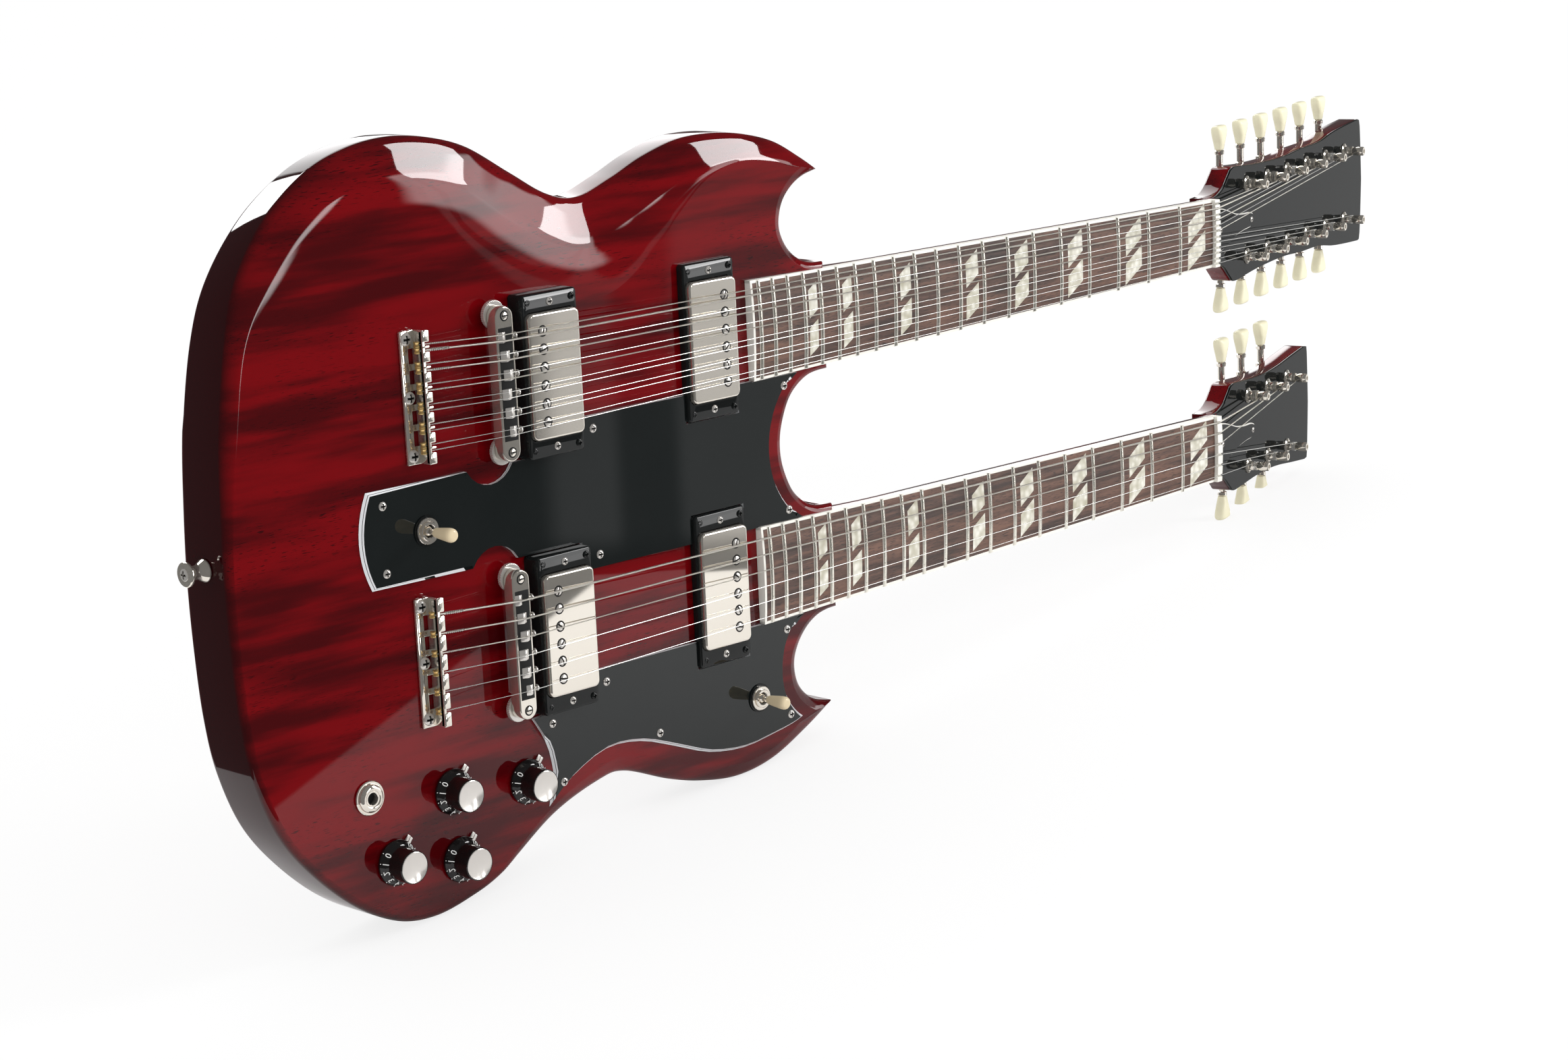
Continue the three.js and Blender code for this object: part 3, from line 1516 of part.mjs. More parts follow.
Object.entries(neckLines).forEach(([kind, line]) => {
  const group = neckGroup(line);
  const headstock = headGroup();
  guitar.add(group);
  group.add(headstock);
  place(`neck_${kind}`, neckWood(kind, line), cherry, group);
  place(`fingerboard_${kind}`, fingerboard(), rosewood, group);
  place(`nut_${kind}`, nutPiece(kind), bone, group);
  place(`headplate_${kind}`, headplate(kind), blackGloss, headstock);
  place(`truss_rod_cover_${kind}`, trussCover(), blackGloss, headstock);
  posts(kind).forEach(({ along, side }, index) => {
    const number = Math.floor(index / 2) + 1;
    const row = side > 0 ? 'upper' : 'lower';
    const depth = head.thickness + tuner.housingDepth / 2;
    const key = place(`tuner_key_${kind}_${row}_${number}`, tunerKey(), cream, headstock, [along, depth, 0]);
    if (side < 0) key.rotation.x = Math.PI;
  });
  place(`bridge_${kind}`, bridgePiece(), nickel, guitar, [bridgeLine, faceY, line]);
  [1, -1].forEach((side) => {
    const row = side > 0 ? 'upper' : 'lower';
    const z = line + (side * bridge.postSpacing) / 2;
    place(`height_wheel_${kind}_${row}`, heightWheel(), nickel, guitar, [bridgeLine, faceY, z]);
  });
  place(`tailpiece_${kind}`, tailpiece(kind, line), nickel);
});

pickupSpots.forEach(({ name, line, x, height, side }) => {
  place(`pickup_${name}`, pickupPiece(height, side), nickel, guitar, [x, faceY, line]);
  place(`pickup_ring_${name}`, ringPiece(height), blackPlastic, guitar, [x, faceY, line]);
});

[
  ['neck_selector', selectorPlace],
  ['pickup_switch', togglePlace],
].forEach(([name, { x, z }]) => {
  place(`${name}_bushing`, switchBushing(), nickel, guitar, [x, faceY, z]);
  const pivot = faceY - seat - guard.thickness - toggle.pivotDepth;
  place(`${name}_lever`, switchLever(), cream, guitar, [x, pivot, z]);
});

knobPlaces.forEach(({ name, x, z }) => place(name, knobPiece(), blackGloss, guitar, [x, faceY, z]));
place('output_jack', outputJack(), nickel, guitar, [jackX, faceY, jackZ]);
const tailButton = place('strap_button_tail', buttonPiece(tailEdge), nickel, guitar, [tailEdge, 0, 0]);
tailButton.rotation.z = -Math.PI / 2;
const heelButton = place('strap_button_heel', buttonPiece(tailEdge), nickel, guitar, [heelX, backY, heelZ]);
heelButton.rotation.x = Math.PI;

export default guitar;
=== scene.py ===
"""Looks of a double-neck electric guitar: lacquered body, two necks and all their hardware.

Lengths are in millimetres until a mesh is made. X runs from the tail button to the headstocks,
Y from the front face to the back, and Z up across the strings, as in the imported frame.
"""

from __future__ import annotations

import json
import logging
import math
from collections.abc import Callable
from dataclasses import dataclass, field
from enum import Enum

import bmesh
import bpy
import numpy as np
from mathutils import Matrix, Vector
from mathutils.geometry import delaunay_2d_cdt

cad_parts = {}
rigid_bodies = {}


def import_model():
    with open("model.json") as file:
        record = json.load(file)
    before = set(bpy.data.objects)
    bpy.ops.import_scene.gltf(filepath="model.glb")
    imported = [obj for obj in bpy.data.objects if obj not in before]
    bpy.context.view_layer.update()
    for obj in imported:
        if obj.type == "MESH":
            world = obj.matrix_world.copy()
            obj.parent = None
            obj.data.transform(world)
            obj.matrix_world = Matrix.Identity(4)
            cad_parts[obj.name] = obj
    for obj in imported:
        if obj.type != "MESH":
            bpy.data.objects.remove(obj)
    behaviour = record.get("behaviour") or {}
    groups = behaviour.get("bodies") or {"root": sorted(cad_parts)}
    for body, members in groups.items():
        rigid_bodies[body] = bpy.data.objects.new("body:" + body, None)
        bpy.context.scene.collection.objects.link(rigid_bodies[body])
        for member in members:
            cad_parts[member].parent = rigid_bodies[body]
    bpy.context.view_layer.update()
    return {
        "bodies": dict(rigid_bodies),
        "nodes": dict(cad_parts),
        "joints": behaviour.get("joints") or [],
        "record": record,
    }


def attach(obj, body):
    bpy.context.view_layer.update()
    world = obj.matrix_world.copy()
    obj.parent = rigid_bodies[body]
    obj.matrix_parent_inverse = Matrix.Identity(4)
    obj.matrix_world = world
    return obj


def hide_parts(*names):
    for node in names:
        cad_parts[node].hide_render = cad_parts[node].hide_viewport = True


log = logging.getLogger("guitar")

Triple = tuple[float, float, float]
Pairs = tuple[tuple[float, float], ...]
Material = bpy.types.Material
Replaced = tuple[str, ...]

MM = 0.001
MERGE = 2e-6  # points closer than this, in metres, are one
CAD_MERGE = 1e-5  # the same in copies of CAD nodes
ROOT_BODY = "guitar"
SEAT = 0.3  # gap between pieces that touch on the real guitar
SCALE_LENGTH = 628.65
FRETS = 20
NECK_ANGLE = math.radians(2.5)
HEAD_ANGLE = math.radians(14)
BODY_LENGTH = 435.7
BODY_HEIGHT = 418.5
BODY_THICKNESS = 38.0
TAIL_EDGE = 14.3
BRIDGE_LINE = 194.0
NECK_SPACING = 142.0
FACE_Y = -BODY_THICKNESS / 2
BACK_Y = BODY_THICKNESS / 2
TONGUE_END = TAIL_EDGE + BODY_LENGTH
TONGUE_WIDTH = 62.5
COURSES = 6
BOARD_OVERHANG = 6.4
BOARD_LIFT = 5.3  # the crown above the body's face at the board's end
CROWN_RADIUS = 305.0
HEAD_START = (4.6, 5.0, 0.0)  # the headstock's face, seen from the nut
GUARD_TOP = 2.7
FIRST_POST = 62.5
POST_OFFSET = 24.0  # of the tuner posts from the centre line
CAP_CORNERS = 12  # a face with more corners is a flat cap
LEVEL = 0.99999  # a face whose normal has this much Y is level
INSIDE = 1  # asks Delaunay for the triangles inside a rim
# colour of the painted shade in screw recesses
PAINTED_RECESS_SHADE = (0.012, 0.012, 0.012)


class Neck(Enum):
    """The two necks, each with its centre line in Z."""

    TWELVE = ("twelve", NECK_SPACING / 2)
    SIX = ("six", -NECK_SPACING / 2)

    @property
    def word(self) -> str:
        """The word that ends the neck's node names."""
        return self.value[0]

    @property
    def line(self) -> float:
        """Height of the neck's centre line."""
        return self.value[1]

    @property
    def pitch(self) -> float:
        """Distance between tuner posts."""
        return 37.0 if self is Neck.TWELVE else 36.0


def fret_distance(number: float) -> float:
    """Distance from the nut to a fret: the scale length times one minus a power of one half."""
    return SCALE_LENGTH * (1 - 2 ** (-number / 12))


BOARD_LENGTH = fret_distance(FRETS) + BOARD_OVERHANG
NUT_X = BRIDGE_LINE + SCALE_LENGTH * math.cos(NECK_ANGLE)
NUT_Y = FACE_Y - BOARD_LIFT + BOARD_LENGTH * math.sin(NECK_ANGLE)
TONGUE_IN_NECK = (TONGUE_END - NUT_X) / math.cos(NECK_ANGLE)


def frame_of(axes: tuple[Triple, Triple, Triple], place: Triple = (0.0, 0.0, 0.0)) -> np.ndarray:
    """A frame from the rows of its turn and its origin.

    Args:
        axes: the rows of the turn.
        place: the frame's origin in millimetres.

    Returns:
        A four by four matrix.
    """
    matrix = np.eye(4)
    matrix[:3, :3] = axes
    matrix[:3, 3] = place
    return matrix


def turn_z(angle: float, place: Triple) -> np.ndarray:
    """A frame turned about Z and then moved."""
    cosine, sine = math.cos(angle), math.sin(angle)
    return frame_of(((cosine, -sine, 0), (sine, cosine, 0), (0, 0, 1)), place)


def turn_y(angle: float) -> np.ndarray:
    """A frame turned about Y, from X towards Z."""
    cosine, sine = math.cos(angle), math.sin(angle)
    return frame_of(((cosine, 0, -sine), (0, 1, 0), (sine, 0, cosine)))


UP_X = frame_of(((0, -1, 0), (1, 0, 0), (0, 0, 1)))  # stands a turned shape along X
UP_Z = frame_of(((1, 0, 0), (0, 0, 1), (0, -1, 0)))  # and along Z


def neck_frame(neck: Neck) -> np.ndarray:
    """The frame of a neck: origin on the board's crown at the nut, -Y out of the board."""
    return turn_z(NECK_ANGLE, (NUT_X, NUT_Y, neck.line))


def head_frame(neck: Neck) -> np.ndarray:
    """The frame of a headstock's face, -Y out of the face."""
    return neck_frame(neck) @ turn_z(HEAD_ANGLE, HEAD_START)


def face_frame(x: float, z: float, height: float = 0.0) -> np.ndarray:
    """A frame on the body's face, with the given height towards the front."""
    return turn_z(0.0, (x, FACE_Y - height, z))


# Shapes


@dataclass
class Shape:
    """Points in millimetres, faces as arrays of corner numbers, and how dark each point is."""

    points: np.ndarray
    faces: list[np.ndarray]
    # painted shade, in screw recesses and round the body's edge; the neck wood is evenly darkened by it as
    # well
    shade: np.ndarray | None = None

    @property
    def shades(self) -> np.ndarray:
        """How dark each point is: zero where nothing is stored."""
        return np.zeros(len(self.points)) if self.shade is None else self.shade

    def placed(self, matrix: np.ndarray) -> Shape:
        """The shape moved by a four by four matrix."""
        return Shape(self.points @ matrix[:3, :3].T + matrix[:3, 3], self.faces, self.shade)

    def moved(self, x: float = 0.0, y: float = 0.0, z: float = 0.0) -> Shape:
        """The shape moved along the axes."""
        return Shape(self.points + np.array([x, y, z]), self.faces, self.shade)

    def mirrored_z(self) -> Shape:
        """The shape with Z turned round; its faces are turned out again when the mesh is made."""
        return Shape(self.points * np.array([1.0, 1.0, -1.0]), self.faces, self.shade)


def joined(shapes: list[Shape]) -> Shape:
    """One shape that holds several: points follow each other and face numbers shift with them.

    Args:
        shapes: what to join.

    Returns:
        The joined shape.
    """
    offsets = np.cumsum([0] + [len(shape.points) for shape in shapes[:-1]])
    faces = [face + offset for shape, offset in zip(shapes, offsets) for face in shape.faces]
    points = np.concatenate([shape.points for shape in shapes])
    return Shape(points, faces, np.concatenate([shape.shades for shape in shapes]))


def skin(rings: np.ndarray, caps: bool = True) -> Shape:
    """A surface through closed rings: each cell joins two neighbours on one ring to the next ring.

    Args:
        rings: points as an array of rings, points and coordinates.
        caps: whether the first and last rings are filled.

    Returns:
        The surface as a shape.
    """
    bands, count = rings.shape[:2]
    ring = np.arange(count)
    after = (ring + 1) % count
    rows = np.arange(bands - 1)[:, None] * count
    quads = np.stack([rows + ring, rows + after, rows + after + count, rows + ring + count], -1)
    faces = [quads.reshape(-1, 4)]
    if caps:
        faces += [ring[None, ::-1], (ring + (bands - 1) * count)[None, :]]
    return Shape(rings.reshape(-1, 3), faces)


def lathe(profile: list[tuple[float, float]], segments: int = 48) -> Shape:
    """A turned shape: each profile point (radius, height) goes round the axis towards -Y.

    Args:
        profile: radius and height of each point.
        segments: cells round the axis.

    Returns:
        The shape, with its ends filled unless the profile is closed.
    """
    radius, height = np.array(profile, float).T
    angle = np.linspace(0, 2 * math.pi, segments, endpoint=False)
    around = np.stack([np.cos(angle), np.zeros(segments), np.sin(angle)], -1)
    points = radius[:, None, None] * around + height[:, None, None] * np.array([0.0, -1.0, 0.0])
    hollow = np.allclose(profile[0], profile[-1])
    return skin(points, caps=bool(radius[0] or radius[-1]) and not hollow)


def inset(outline: np.ndarray, width: float) -> np.ndarray:
    """A closed outline moved to its inner side: each point goes along the mean of its normals.

    Args:
        outline: the points, as rows.
        width: how far they go; outwards where it is negative.

    Returns:
        The moved outline.
    """
    ahead = np.roll(outline, -1, 0) - outline
    ahead = ahead / np.maximum(np.linalg.norm(ahead, axis=1, keepdims=True), 1e-9)
    side = np.stack([ahead[:, 1], -ahead[:, 0]], 1)
    normal = side + np.roll(side, 1, 0)
    normal = normal / np.maximum(np.linalg.norm(normal, axis=1, keepdims=True), 0.3)
    area = np.sum(cross(outline, np.roll(outline, -1, 0)))
    return outline - normal * width * math.copysign(1.0, area)


def plate(outline: np.ndarray, low: float, high: float, edge: float = 0.0, steps: int = 3) -> Shape:
    """A plate with rounded edges: the outline is drawn in by a quarter circle at both faces.

    Args:
        outline: points in X and Z.
        low: height of the back face towards the front.
        high: height of the front face.
        edge: radius of the rounding.
        steps: cells round a quarter circle.

    Returns:
        The plate.
    """
    turns = np.linspace(0, math.pi / 2, steps + 1) if edge else np.zeros(1)
    drawn = edge * (1 - np.sin(turns))
    rise = edge * (1 - np.cos(turns))
    levels = [(width, low + lift) for width, lift in zip(drawn, rise)]
    levels += [(width, high - lift) for width, lift in zip(drawn, rise)][::-1]
    rings = []
    for width, height in levels:
        ring = inset(outline, width) if width else outline
        rings.append(np.stack([ring[:, 0], np.full(len(ring), -height), ring[:, 1]], -1))
    return skin(np.array(rings))


def rounded_rectangle(width: float, height: float, radius: float, steps: int = 8) -> np.ndarray:
    """A rectangle in X and Z whose corners are quarter circles.

    Args:
        width: size along X.
        height: size along Z.
        radius: of the corners.
        steps: cells round a corner.

    Returns:
        The outline's points.
    """
    angle = np.linspace(0, math.pi / 2, steps + 1)
    corner = np.stack([np.cos(angle), np.sin(angle)], -1) * radius
    centre = np.array([width / 2 - radius, height / 2 - radius])
    quarter = [corner + centre]
    quarter.append((corner[::-1] * [-1, 1]) + centre * [-1, 1])
    quarter.append((corner * [-1, -1]) + centre * [-1, -1])
    quarter.append((corner[::-1] * [1, -1]) + centre * [1, -1])
    return np.concatenate(quarter)


def box(low: Triple, high: Triple, edge: float = 0.2) -> Shape:
    """A block between two corners, with rounded edges.

    Args:
        low: x, height and z of the lower corner.
        high: the same of the upper corner.
        edge: radius of the rounding.

    Returns:
        The block.
    """
    outline = rounded_rectangle(high[0] - low[0], high[2] - low[2], edge, 2)
    block = plate(outline, low[1], high[1], edge, 2)
    return block.moved((low[0] + high[0]) / 2, 0.0, (low[2] + high[2]) / 2)


def tube(path: np.ndarray, radius: np.ndarray | float, sides: int = 10) -> Shape:
    """A tube that runs mostly along X: each ring is a circle in Y and Z round a path point.

    Args:
        path: the middle line's points.
        radius: of the tube, one for all or one for each point.
        sides: cells round the tube.

    Returns:
        The tube.
    """
    angle = np.linspace(0, 2 * math.pi, sides, endpoint=False)
    around = np.stack([np.zeros(sides), np.cos(angle), np.sin(angle)], -1)
    radii = np.broadcast_to(np.asarray(radius, float), (len(path),))
    return skin(path[:, None, :] + around[None] * radii[:, None, None])


def coil(
    start: np.ndarray, along: np.ndarray, radius: float, wire: float, turns: int, steps: int = 10
) -> Shape:
    """A helix of wire round a line: the wire's centre circles the line while it moves along it.

    Args:
        start: the line's first point.
        along: from the line's first point to its last.
        radius: from the line to the wire's centre.
        wire: radius of the wire.
        turns: how often it circles the line.
        steps: cells in each turn.

    Returns:
        The helix.
    """
    share = np.linspace(0, 1, turns * steps + 1)
    angle = share * turns * 2 * math.pi
    way = along / np.linalg.norm(along)
    side = np.cross(way, [0.0, 0.0, 1.0])
    side = side / np.linalg.norm(side)
    out = np.cos(angle)[:, None] * side + np.sin(angle)[:, None] * np.cross(way, side)
    centre = start + share[:, None] * along + out * radius
    phase = np.linspace(0, 2 * math.pi, 6, endpoint=False)[None, :, None]
    return skin(centre[:, None] + wire * (np.cos(phase) * out[:, None] + np.sin(phase) * way))


def smooth_rows(rows: np.ndarray, steps: int) -> np.ndarray:
    """A smooth line through rows: each span is the cubic whose slopes join the rows' neighbours.

    Args:
        rows: the points to pass.
        steps: cells in each span.

    Returns:
        The line's points.
    """
    spans = len(rows) - 1
    place = np.linspace(0, spans, spans * steps + 1)
    index = np.minimum(place.astype(int), spans - 1)
    t = (place - index)[:, None]
    before, here = rows[np.maximum(index - 1, 0)], rows[index]
    there, beyond = rows[index + 1], rows[np.minimum(index + 2, spans)]
    start, end = (there - before) / 2, (beyond - here) / 2
    cubic = 2 * here - 2 * there + start + end
    square = -3 * here + 3 * there - 2 * start - end
    return cubic * t**3 + square * t**2 + start * t + here


def filled_rim(ring: np.ndarray, way: int, merge: float = 1e-5) -> Shape:
    """A flat filling of a closed rim at one height, whole even where the rim crosses itself.

    Delaunay triangles join the points of the rim, and those inside it are kept.

    Args:
        ring: the rim's points, all at one Y.
        way: 1 or -1, the turn of the triangles.
        merge: points closer than this are one.

    Returns:
        The filling.
    """
    places = list(map(Vector, ring[:, [2, 0]].tolist()))
    rim = list(range(len(places)))
    points, _, triangles, *_ = delaunay_2d_cdt(places, [], [rim], INSIDE, merge)
    flat = np.array(points)
    solid = np.stack([flat[:, 1], np.full(len(flat), ring[0, 1]), flat[:, 0]], -1)
    return Shape(solid, [np.array(triangles)[:, ::way]])


def cross(first: np.ndarray, second: np.ndarray) -> np.ndarray:
    """The turn from one flat direction to another."""
    return first[..., 0] * second[..., 1] - first[..., 1] * second[..., 0]


def keep_caps_flat(mesh: bpy.types.Mesh) -> None:
    """Marks the rims of large flat faces sharp, so that they shade flat.

    Args:
        mesh: the mesh, which is changed.
    """
    work = bmesh.new()
    work.from_mesh(mesh)
    for face in work.faces:
        if len(face.verts) > CAP_CORNERS:
            face.smooth = False
            for rim in face.edges:
                rim.smooth = False
    work.to_mesh(mesh)
    work.free()


def rows_of(items: bpy.types.bpy_prop_collection, name: str, width: int, kind: type = float) -> np.ndarray:
    """One property of all items of a mesh.

    Args:
        items: such as the mesh's vertices.
        name: the property.
        width: how many numbers each item has.
        kind: float or int.

    Returns:
        A row for each item.
    """
    values = np.zeros(len(items) * width, kind)
    items.foreach_get(name, values)
    return values.reshape(-1, width)


def in_scene(name: str, data: bpy.types.ID) -> bpy.types.Object:
    """A new object of the scene that shows a mesh, curve, lamp or camera."""
    made = bpy.data.objects.new(name, data)
    bpy.context.scene.collection.objects.link(made)
    return made


@dataclass(frozen=True)
class Look:
    """A built finish and the record's material slot that it stands in."""

    material: Material
    slot: str


def hand_over(
    mesh: bpy.types.Mesh, look: Look, body: str = ROOT_BODY, replaces: Replaced = ()
) -> bpy.types.Object:
    """Dresses a finished mesh, puts it into the scene and hands it to the frame.

    Args:
        mesh: the mesh, with the piece's name.
        look: its finish and slot.
        body: the CAD body that carries it.
        replaces: CAD nodes that it stands for.

    Returns:
        The new object.
    """
    mesh.materials.append(look.material)
    piece = in_scene(mesh.name, mesh)
    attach(piece, body)
    if replaces:
        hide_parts(*replaces)
    log.info("piece %s: %d faces", piece.name, len(mesh.polygons))
    return piece


def make_piece(
    name: str,
    shape: Shape,
    look: Look,
    body: str = ROOT_BODY,
    replaces: Replaced = (),
    sharp: float = 38.0,
) -> bpy.types.Object:
    """Makes a mesh object from a shape, turns its faces out and hands it to the frame.

    Args:
        name: the piece's name.
        shape: points in millimetres and faces.
        look: its finish and slot.
        body: the CAD body that carries it.
        replaces: CAD nodes that it stands for.
        sharp: edges bent by more than this many degrees stay crisp.

    Returns:
        The new object.
    """
    mesh = bpy.data.meshes.new(name)
    faces = [row for block in shape.faces for row in block.tolist()]
    mesh.from_pydata((shape.points * MM).tolist(), [], faces)
    # the shade attribute carries the painted shade to the finishes
    shade = mesh.attributes.new("shade", "FLOAT", "POINT")
    shade.data.foreach_set("value", shape.shades.astype(np.float32))
    work = bmesh.new()
    work.from_mesh(mesh)
    bmesh.ops.remove_doubles(work, verts=work.verts, dist=MERGE)
    bmesh.ops.dissolve_degenerate(work, edges=work.edges, dist=MERGE / 2)
    bmesh.ops.recalc_face_normals(work, faces=work.faces)
    work.to_mesh(mesh)
    work.free()
    mesh.polygons.foreach_set("use_smooth", np.ones(len(mesh.polygons), bool))
    mesh.set_sharp_from_angle(angle=math.radians(sharp))
    keep_caps_flat(mesh)
    return hand_over(mesh, look, body, replaces)


def dress(node: bpy.types.Object, look: Look) -> None:
    """Gives a CAD node a finish."""
    node.data.materials.clear()
    node.data.materials.append(look.material)


# Finishes


class Number:
    """A number on its way through a shader; sums and products add Math nodes."""

    def __init__(self, shader: Shader, socket: bpy.types.NodeSocket) -> None:
        """Wraps one output socket."""
        self.shader = shader
        self.socket = socket

    def _math(self, operation: str, first: object, second: object) -> Number:
        """One Math node with two values or links."""
        node = self.shader.node("ShaderNodeMath", {"operation": operation}, {0: first, 1: second})
        return Number(self.shader, node.outputs[0])

    def __add__(self, other: object) -> Number:
        """Sum."""
        return self._math("ADD", self, other)

    __radd__ = __add__

    def __sub__(self, other: object) -> Number:
        """Difference."""
        return self._math("SUBTRACT", self, other)

    def __rsub__(self, other: object) -> Number:
        """Difference the other way round."""
        return self._math("SUBTRACT", other, self)

    def __mul__(self, other: object) -> Number:
        """Product."""
        return self._math("MULTIPLY", self, other)

    __rmul__ = __mul__

    def function(self, operation: str, other: object = 0.0) -> Number:
        """A function of the number, or of two."""
        return self._math(operation, self, other)

    def above(self, limit: object) -> Number:
        """One where the number is over the limit, and otherwise zero."""
        return self._math("GREATER_THAN", self, limit)

    def greatest(self, other: object) -> Number:
        """The larger of two numbers."""
        return self._math("MAXIMUM", self, other)

    def ramp(self, low: float, high: float) -> Number:
        """Rises smoothly from zero to one.

        Args:
            low: where it starts.
            high: where it reaches one.

        Returns:
            The share.
        """
        settings = {"interpolation_type": "SMOOTHSTEP"}
        node = self.shader.node("ShaderNodeMapRange", settings, {0: self, 1: low, 2: high})
        return Number(self.shader, node.outputs[0])


class Shader:
    """A material with one Principled surface, built from expressions."""

    def __init__(self, name: str) -> None:
        """Makes an empty material.

        Args:
            name: the material's name.
        """
        self.material = bpy.data.materials.new(name)
        self.material.use_nodes = True
        self.tree = self.material.node_tree
        self.surface = self.tree.nodes["Principled BSDF"]
        self._coordinates = self.node("ShaderNodeTexCoord", {}, {})

    def node(self, kind: str, settings: dict, values: dict) -> bpy.types.Node:
        """Adds a node, sets its options first, and then sets or links its sockets.

        Args:
            kind: the node's type.
            settings: its options.
            values: values or links by socket.

        Returns:
            The node.
        """
        made = self.tree.nodes.new(kind)
        for key, value in settings.items():
            setattr(made, key, value)
        for key, value in values.items():
            self.feed(made.inputs[key], value)
        return made

    def feed(self, socket: bpy.types.NodeSocket, value: object) -> None:
        """Links a number or socket to an input, or sets its value.

        Args:
            socket: the input.
            value: a number on its way, a socket, or a plain value.
        """
        if isinstance(value, Number):
            value = value.socket
        if isinstance(value, bpy.types.NodeSocket):
            self.tree.links.new(value, socket)
        else:
            socket.default_value = value

    def place(self, scale: Triple, turn: Triple = (0, 0, 0)) -> bpy.types.NodeSocket:
        """Object coordinates, stretched and turned."""
        values = {"Vector": self._coordinates.outputs["Object"], "Scale": scale, "Rotation": turn}
        return self.node("ShaderNodeMapping", {}, values).outputs[0]

    def axis(self, name: str) -> Number:
        """One of the object coordinates, in metres."""
        split = self.node("ShaderNodeSeparateXYZ", {}, {0: self._coordinates.outputs["Object"]})
        return Number(self, split.outputs[name])

    def noise(self, place: object, scale: float, detail: float = 3.0, roughness: float = 0.5) -> Number:
        """Smooth noise about one half."""
        values = {"Vector": place, "Scale": scale, "Detail": detail, "Roughness": roughness}
        return Number(self, self.node("ShaderNodeTexNoise", {}, values).outputs[0])

    def attribute(self, name: str) -> Number:
        """A number stored on the mesh's points."""
        node = self.node("ShaderNodeAttribute", {"attribute_name": name}, {})
        return Number(self, node.outputs["Fac"])

    def mix(self, share: object, first: object, second: object) -> object:
        """A colour between two."""
        values = {0: share, 6: colour(first), 7: colour(second)}
        return self.node("ShaderNodeMix", {"data_type": "RGBA"}, values).outputs[2]

    def bump(self, height: Number, strength: float, distance: float) -> None:
        """Bumps the surface by a height."""
        values = {"Height": height, "Strength": strength, "Distance": distance}
        self.feed(self.surface.inputs["Normal"], self.node("ShaderNodeBump", {}, values).outputs[0])

    def set(self, **values: object) -> None:
        """Sets sockets of the surface; an underscore stands for a space."""
        for key, value in values.items():
            words = " ".join(part.capitalize() for part in key.split("_")).replace("Ior", "IOR")
            self.feed(self.surface.inputs[words], value)


def colour(value: object) -> object:
    """A colour with its alpha, or a link as it is."""
    return (*value, 1.0) if isinstance(value, tuple) and len(value) == 3 else value


@dataclass(frozen=True)
class Lacquer:
    """Translucent cherry lacquer over mahogany: streaks and short dark pores run along the grain. Where the
    mesh's shade attribute is set, the edge colour is mixed in as painted shade.
    """

    bright: Triple = (0.155, 0.0012, 0.0032)
    deep: Triple = (0.05, 0.0007, 0.0018)
    pore: Triple = (0.014, 0.0004, 0.001)
    # painted shade: the colour that the shade attribute mixes in on the body's bevels and walls, and at a
    # quarter on the neck wood throughout
    edge: Triple = (0.016, 0.0006, 0.0012)
    gloss: float = 0.025

    def build(self) -> Material:
        """The material: dark bands, fine streaks and pores under a hard clear coat.

        Returns:
            The material.
        """
        shader = Shader("cherry_lacquer")
        bands = shader.noise(shader.place((8.0, 20.0, 58.0), (0.0, 0.08, 0.0)), 1.0, 2.0, 0.5)
        streaks = shader.noise(shader.place((14.0, 110.0, 170.0)), 1.0, 5.0, 0.6)
        pores = shader.noise(shader.place((150.0, 1100.0, 1700.0)), 1.0, 1.0).ramp(0.6, 0.7)
        patches = shader.noise(shader.place((9.0, 30.0, 30.0)), 1.0, 2.0).ramp(0.42, 0.62)
        tone = (bands * 0.8 + streaks * 0.3).ramp(0.41, 0.65)
        wood = shader.mix(tone, self.deep, self.bright)
        pored = shader.mix(pores * patches * 0.8, wood, self.pore)
        # painted shade from the mesh's shade attribute darkens the body's edge towards the edge colour
        shaded = shader.mix(shader.attribute("shade"), pored, self.edge)
        shader.set(base_color=shaded, roughness=0.45, specular_ior_level=0.0)
        shader.set(coat_weight=1.0, coat_roughness=self.gloss, coat_ior=1.42)
        return shader.material


@dataclass(frozen=True)
class Rosewood:
    """Open-grained dark rosewood with brown and black streaks along the board."""

    light: Triple = (0.17, 0.085, 0.058)
    dark: Triple = (0.035, 0.018, 0.014)

    def build(self) -> Material:
        """Builds the finish.

        Returns:
            The material.
        """
        shader = Shader("rosewood")
        grain = shader.place((14.0, 260.0, 260.0))
        streak = shader.noise(grain, 1.0, 6.0, 0.65)
        pores = shader.noise(shader.place((160.0, 2200.0, 2200.0)), 1.0, 1.0).ramp(0.56, 0.68)
        broad = shader.noise(shader.place((12.0, 60.0, 60.0)), 1.0, 2.0)
        wood = shader.mix((streak + broad * 0.6).ramp(0.55, 1.05), self.dark, self.light)
        shader.set(base_color=shader.mix(pores * 0.7, wood, (0.012, 0.007, 0.006)), roughness=0.5)
        shader.bump(1 - pores, 0.25, 0.0002)
        return shader.material


@dataclass(frozen=True)
class Metal:
    """Plated metal with faint wear in its gloss; recesses in screw heads are painted dark as painted shade.
    """

    name: str
    tint: Triple
    gloss: float
    wear: float = 0.05
    shine: float = 0.87

    def build(self) -> Material:
        """Builds the finish.

        Returns:
            The material.
        """
        shader = Shader(self.name)
        cloud = shader.noise(shader.place((30.0, 30.0, 30.0)), 1.0, 1.0)
        soft = shader.mix(cloud, tuple(0.96 * part for part in self.tint), self.tint)
        # painted shade: points in screw recesses are mixed towards a dark colour
        shaded = shader.mix(shader.attribute("shade"), soft, PAINTED_RECESS_SHADE)
        shader.set(base_color=shaded, metallic=self.shine, roughness=cloud * self.wear + self.gloss)
        shader.set(specular_ior_level=0.0)
        return shader.material


